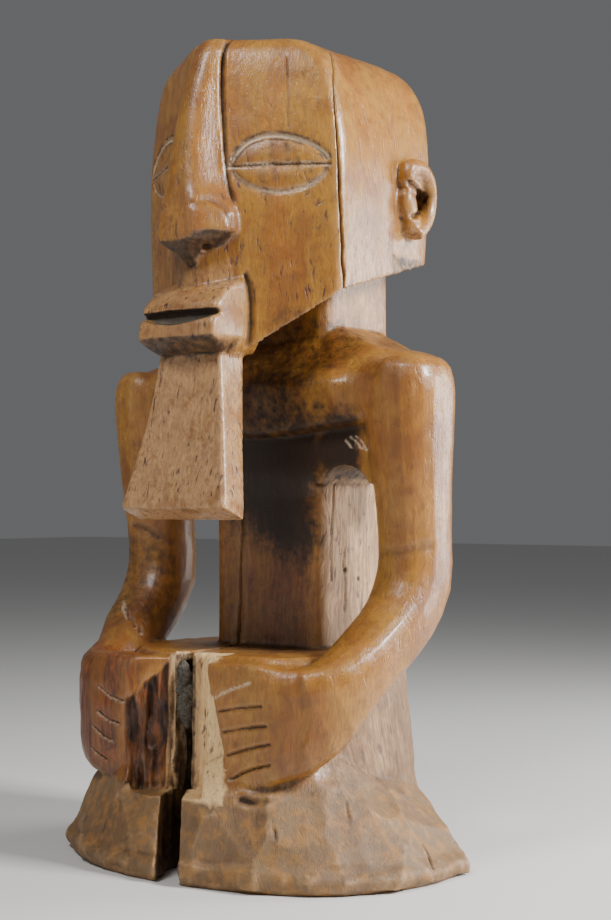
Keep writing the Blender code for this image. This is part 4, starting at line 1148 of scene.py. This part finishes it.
class FIGURE_OT_fill_split(bpy.types.Operator):
    """Packs a crumbling grey lump into the split between the hands"""

    bl_idname = "figure.fill_split"
    bl_label = "Fill the Split"

    def execute(self, context):
        # A leaning lump: u runs down its middle line and v round it. The radius goes by a low
        # power of the sine of u, and noise pushes each point out from the middle line.
        u = np.linspace(0.0, 1.0, 60)[:, None]
        v = np.linspace(0.0, 2 * math.pi, 40, endpoint=False)[None, :]
        swell = np.sin(math.pi * np.clip(u, 0.012, 0.988)) ** 0.45
        course = tuple(zip(FILLING_TOP, FILLING_RUN))
        ring = zip(FILLING_HALF, (np.cos(v), np.sin(v), np.zeros_like(v)))
        middle = np.stack([top + run * u for top, run in course], axis=-1)
        grid = np.stack([top + half * swell * turn + run * u
                         for (top, run), (half, turn) in zip(course, ring)], axis=-1)
        out = grid - middle
        out /= np.maximum(np.linalg.norm(out, axis=-1, keepdims=True), 1e-6)
        flat = grid.reshape(-1, 3)
        bumps = 0.9 * soft_noise(flat, 3.4, 71) + 0.6 * soft_noise(flat, 1.5, 72)
        bumps += 0.3 * soft_noise(flat, 0.8, 73)
        grid = grid + out * bumps.reshape(grid.shape[:2] + (1,)) * swell[..., None]
        piece = linked("split_filling", tube("split_filling", grid))
        piece.data.shade_smooth()
        piece.data.materials.append(crumb_material(context.scene.figure_wood))
        ride_root(piece)
        return {"FINISHED"}


# Square lamps, as (setting, side, distance, turn from the camera in degrees, height), in metres.
LAMPS = (
    ("key", 0.14, 0.62, 60, 0.46), ("side", 0.30, 0.60, 102, 0.20),
    ("brow", 0.18, 0.46, -34, 0.66), ("fill", 0.6, 0.75, -64, 0.26),
)

# The height that every lamp faces, in metres.
LAMP_AIM = 0.16

# The picture's frame, the lens's focal length and the figure's axis at eye level, in pixels.
FRAME_WIDTH, FRAME_HEIGHT = 611, 920
FOCAL_LENGTH = 1620
AXIS = (268.6, 502)

# The width of the camera's sensor in millimetres, and how far back the camera's circle has its
# middle, in metres.
SENSOR = 36.0
ORBIT_Y = 0.004


class FIGURE_OT_stage(bpy.types.Operator):
    """Sets up the floor, the lights and the camera"""

    bl_idname = "figure.stage"
    bl_label = "Set the Stage"

    def execute(self, context):
        values = context.scene.figure_stage
        self.floor(values)
        self.camera(context, values)
        for name, size, out, turn, height in LAMPS:
            data = bpy.data.lights.new(name + " light", "AREA")
            data.energy = getattr(values, name)
            data.size = size
            around = values.turn + math.radians(turn)
            lamp = linked(data.name, data)
            lamp.location = (out * math.sin(around), -out * math.cos(around), height)
            lamp.rotation_euler = (math.atan2(out, height - LAMP_AIM), 0.0, around)
        world = bpy.data.worlds.new("studio")
        world.use_nodes = True
        background = world.node_tree.nodes["Background"].inputs
        background["Color"].default_value = (0.96, 0.97, 1.0, 1.0)
        background["Strength"].default_value = values.sky
        context.scene.world = world
        return {"FINISHED"}

    @staticmethod
    def floor(values):
        mesh = bpy.data.meshes.new("floor")
        reach = 4.0
        corners = [(-reach, -reach, 0), (reach, -reach, 0), (reach, reach, 0), (-reach, reach, 0)]
        mesh.from_pydata(corners, [], [(0, 1, 2, 3)])
        material = bpy.data.materials.new("pale floor")
        material.use_nodes = True
        shader = material.node_tree.nodes["Principled BSDF"]
        shader.inputs["Base Color"].default_value = values.floor
        shader.inputs["Roughness"].default_value = 0.9
        mesh.materials.append(material)
        linked("floor", mesh)

    @staticmethod
    def camera(context, values):
        data = bpy.data.cameras.new("camera")
        camera = linked("camera", data)
        camera.location = (
            values.distance * math.sin(values.turn),
            ORBIT_Y - values.distance * math.cos(values.turn), values.height,
        )
        camera.rotation_euler = (math.pi / 2, 0.0, values.turn)
        data.sensor_width = SENSOR
        data.lens = SENSOR * FOCAL_LENGTH / FRAME_HEIGHT
        data.shift_x = (FRAME_WIDTH / 2 - AXIS[0]) / FRAME_HEIGHT
        data.shift_y = (AXIS[1] - FRAME_HEIGHT / 2) / FRAME_HEIGHT
        data.dof.use_dof = False
        context.scene.camera = camera


class FIGURE_PT_panel(bpy.types.Panel):
    """Lists the steps that make the figure, with their settings"""

    bl_label = "Power Figure"
    bl_idname = "FIGURE_PT_panel"
    bl_space_type = "VIEW_3D"
    bl_region_type = "UI"
    bl_category = "Figure"

    def draw(self, context):
        layout = self.layout
        for operator in STEPS:
            layout.operator(operator.bl_idname)
        for values in (context.scene.figure_wood, context.scene.figure_stage):
            box = layout.box()
            for name in values.__annotations__:
                box.prop(values, name)


STEPS = (FIGURE_OT_stage, FIGURE_OT_carve, FIGURE_OT_fill_split)
CLASSES = (FigureWood, FigureStage) + STEPS + (FIGURE_PT_panel,)


def register():
    for cls in CLASSES:
        bpy.utils.register_class(cls)
    bpy.types.Scene.figure_wood = PointerProperty(type=FigureWood)
    bpy.types.Scene.figure_stage = PointerProperty(type=FigureStage)


def unregister():
    del bpy.types.Scene.figure_stage
    del bpy.types.Scene.figure_wood
    for cls in reversed(CLASSES):
        bpy.utils.unregister_class(cls)


def main():
    register()
    bpy.ops.figure.stage()
    bpy.ops.figure.carve()
    bpy.ops.figure.fill_split()


if __name__ == "__main__":
    main()
